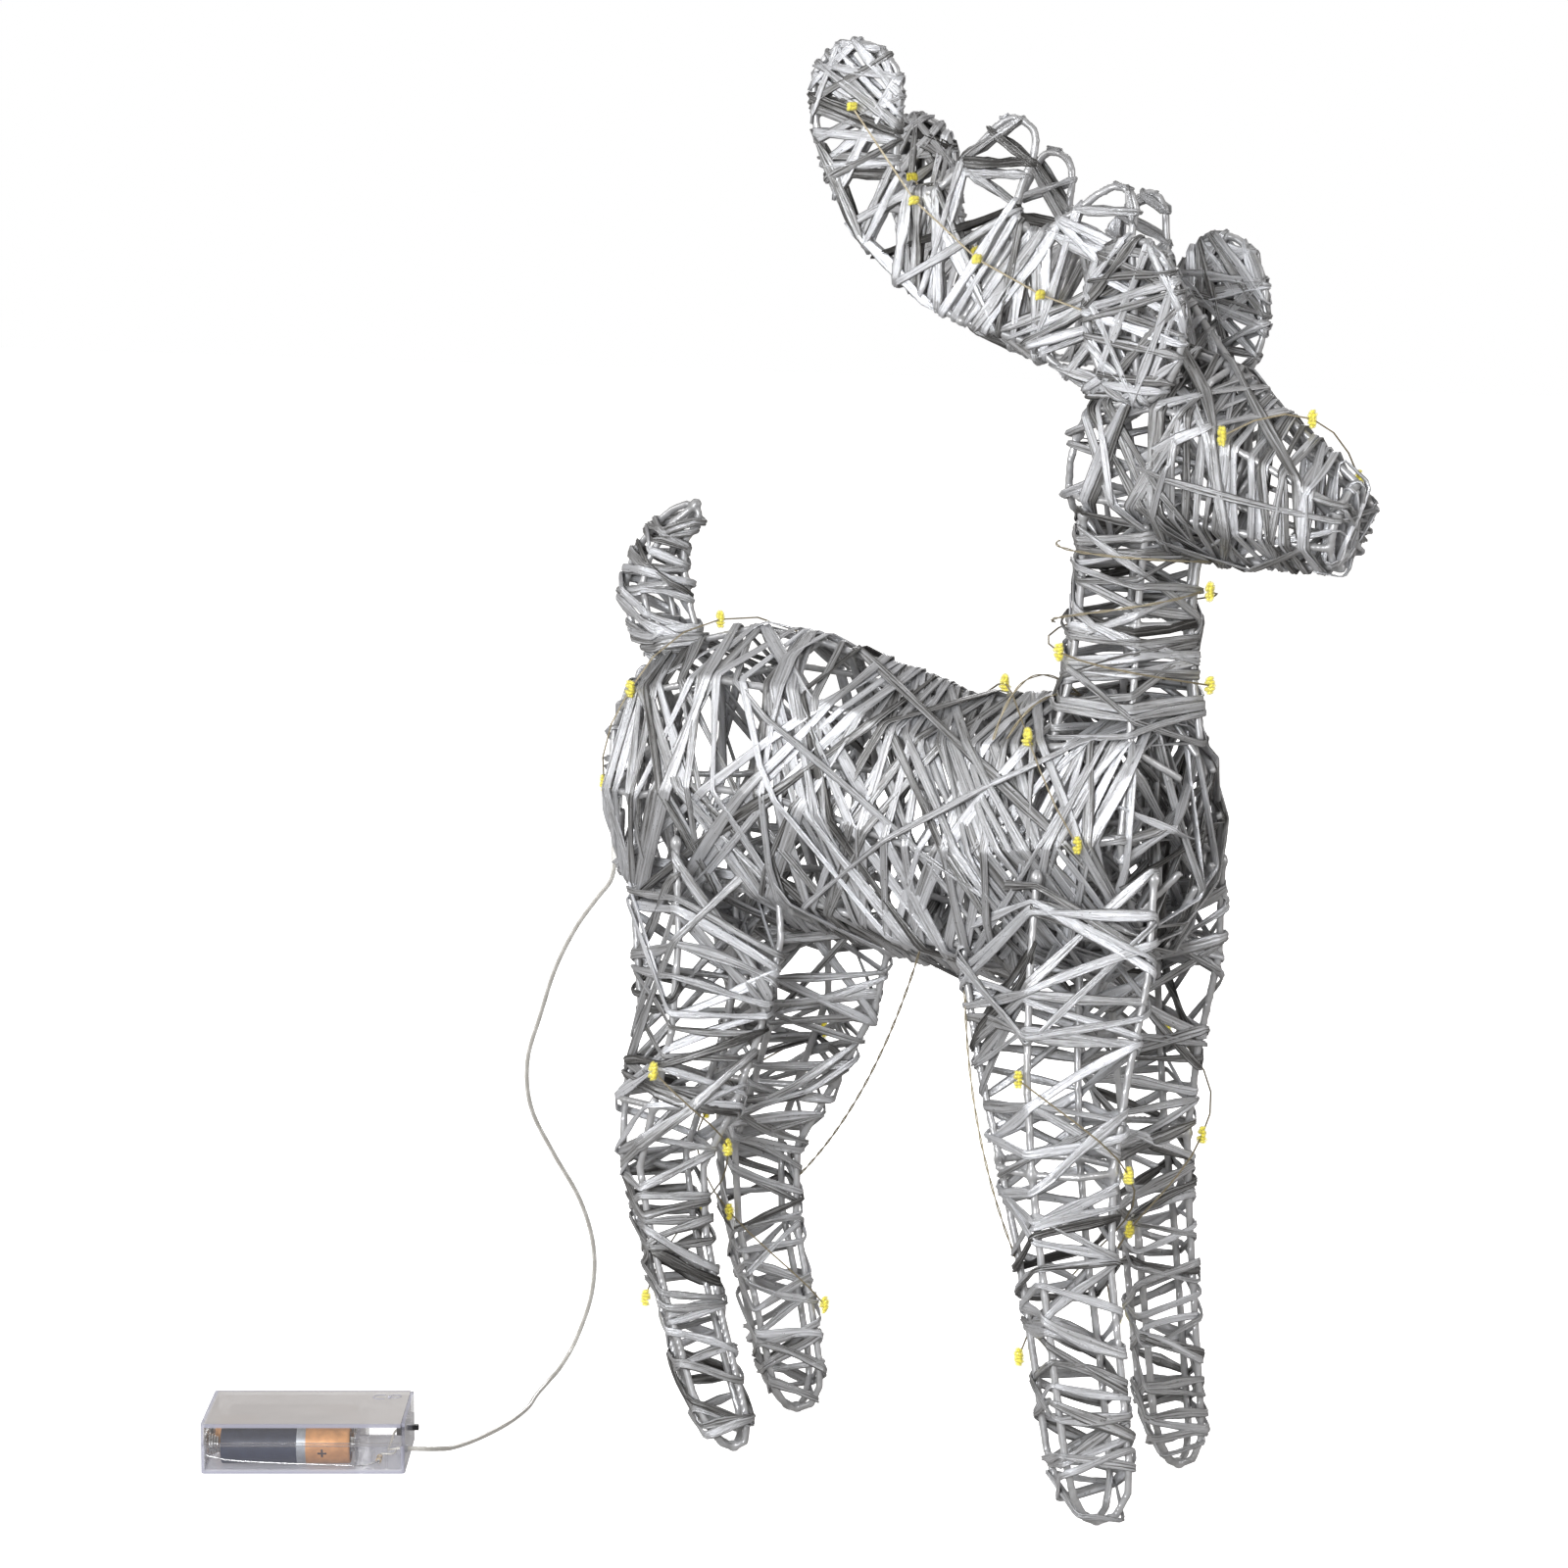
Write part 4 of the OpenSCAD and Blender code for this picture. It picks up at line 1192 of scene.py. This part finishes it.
def make_springs(metal):
    """Conical contact springs: two at the left end, one at the partition."""
    seat = WALL + 0.4 + 0.5
    runs = [("front", seat, CELL_Y[0], 1), ("back", seat, CELL_Y[2], 1),
            ("middle", BAY_END - 0.4 - 0.5, CELL_Y[1], -1)]
    made = []
    for name, start, y, way in runs:
        made.append(tube(name + "_contact_spring", in_box(spring_line(start, y, way, 3.9)),
                         0.38 * MM, metal, corners=8))
    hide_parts("contact_springs")
    return made


def make_resistor():
    """A small carbon film resistor with its colour bands and end leads."""
    tan = plastic_material("resistor_tan", (0.60, 0.46, 0.28), 0.35)
    bands = [plastic_material("band_brown", (0.12, 0.04, 0.015), 0.35),
             plastic_material("band_black", (0.015, 0.015, 0.015), 0.35),
             plastic_material("band_gold", (0.55, 0.38, 0.10), 0.3)]
    lead = metal_material("resistor_lead", (0.66, 0.66, 0.66), 0.3)
    profile = [(-2.2, 0), (-2.2, 0.3), (-0.05, 0.3), (0, 0.6), (0.3, 1.02), (0.75, 1.15), (1.1, 1.12),
               (1.35, 1.0), (1.5, 0.95), (1.9, 0.95), (2.3, 0.95), (2.7, 0.95), (3.1, 0.95),
               (3.5, 0.95), (3.9, 0.95), (4.3, 0.95), (4.7, 0.95), (4.85, 1.0), (5.1, 1.12),
               (5.45, 1.15), (5.9, 1.02), (6.15, 0.6), (6.2, 0.3), (9.2, 0.3), (9.2, 0)]
    tones = [4, 4, 4, 0, 0, 1, 1, 0, 0, 2, 0, 1, 0, 3, 0, 0, 0, 0, 0, 0, 0, 4, 4, 4]
    rings = lathe(profile, 24)
    verts = rings.reshape(-1, 3)[:, [1, 0, 2]] + np.array([66.5, 7.2, 3.0])
    obj = box_mesh("film_resistor", verts, lathe_faces(rings), [tan, *bands, lead],
                   which=np.repeat(tones, 24))
    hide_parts("resistor")
    return obj


def cover_marks(mat):
    """Plain raised moulding marks near a corner of the cover: a ring, an arc and three bars."""
    top = BOX_SIZE[2] - 0.06
    ring = [(70.5 + 2.1 * math.cos(a), 41.5 + 2.1 * math.sin(a), top)
            for a in np.linspace(0, 2 * math.pi, 41)[:-1]]
    arc = [(65.0 + 3.0 * math.cos(a), 40.5 + 3.0 * math.sin(a), top)
           for a in np.linspace(math.radians(60), math.radians(300), 25)]
    bars = [[(67.6, y, top), (68.9, y + 0.3, top)] for y in (38.4, 40.2, 42.0)]
    for k, line in enumerate([ring + ring[:2], arc, *bars]):
        tube(f"cover_mark_{k + 1}", in_box(line), 0.24 * MM, mat, "battery_cover", 8)


def rounded(obj, width):
    """Softens a CAD node's moulded edges."""
    bevel = obj.modifiers.new("edges", "BEVEL")
    bevel.width = width * MM
    bevel.segments = 3
    bevel.limit_method = "ANGLE"
    bevel.angle_limit = math.radians(35)
    bevel.harden_normals = False


def make_box():
    """Materials and soft edges for the box's CAD parts, and fine parts in place of coarse ones."""
    rim = (0.36, 0.36, 0.44)
    side = clear_material("clear_side_plastic", (0.44, 0.44, 0.51), 0.07, 0.8, rim=rim)
    cover = clear_material("clear_cover_plastic", (0.43, 0.405, 0.395), 0.07, 0.78,
                           frosted=(0.86, 0.5), rim=rim)
    metal = metal_material("bright_contact", (0.70, 0.70, 0.70), 0.25)
    black = plastic_material("black_switch", (0.018, 0.018, 0.02), 0.4)
    for name, mat, edge in (
        ("battery_tray", side, 0.35), ("battery_cover", cover, 0.6), ("contact_plates", metal, 0.08),
        ("switch_case", black, 0.25), ("switch_knob", black, 0.3),
    ):
        set_material(NODES[name], mat)
        rounded(NODES[name], edge)
    set_material(NODES["lead_bush"], clear_material("bush_clear", (0.55, 0.55, 0.58), 0.5, 0.85))
    set_material(NODES["lead_sleeve"], clear_material("sleeve_clear", (0.60, 0.58, 0.53), 0.45, 0.9))
    rounded(NODES["lead_bush"], 0.12)
    rounded(NODES["lead_sleeve"], 0.3)
    springs = make_springs(metal)
    bus = tube("bus_bare_wire", in_box(smooth_points(BUS_ROUTE, 6)), 0.35 * MM, metal, corners=8)
    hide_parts("bus_wire")
    sleeve = plastic_material("core_insulation", (0.78, 0.75, 0.68), 0.35)
    links = [tube(f"inner_lead_{k + 1}", in_box(smooth_points(route, 6)), 0.4 * MM, sleeve, corners=8)
             for k, route in enumerate(INNER_ROUTES)]
    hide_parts("inner_leads")
    cover_marks(clear_material("mark_plastic", rim, 0.8, 0.95))
    return [*springs, bus, *links, make_resistor()]


# ---- finish

make_camera()
make_studio()
make_lead()
make_cells()
make_box()
make_lights()
make_micro_wire()
round_wires()
wind_all()
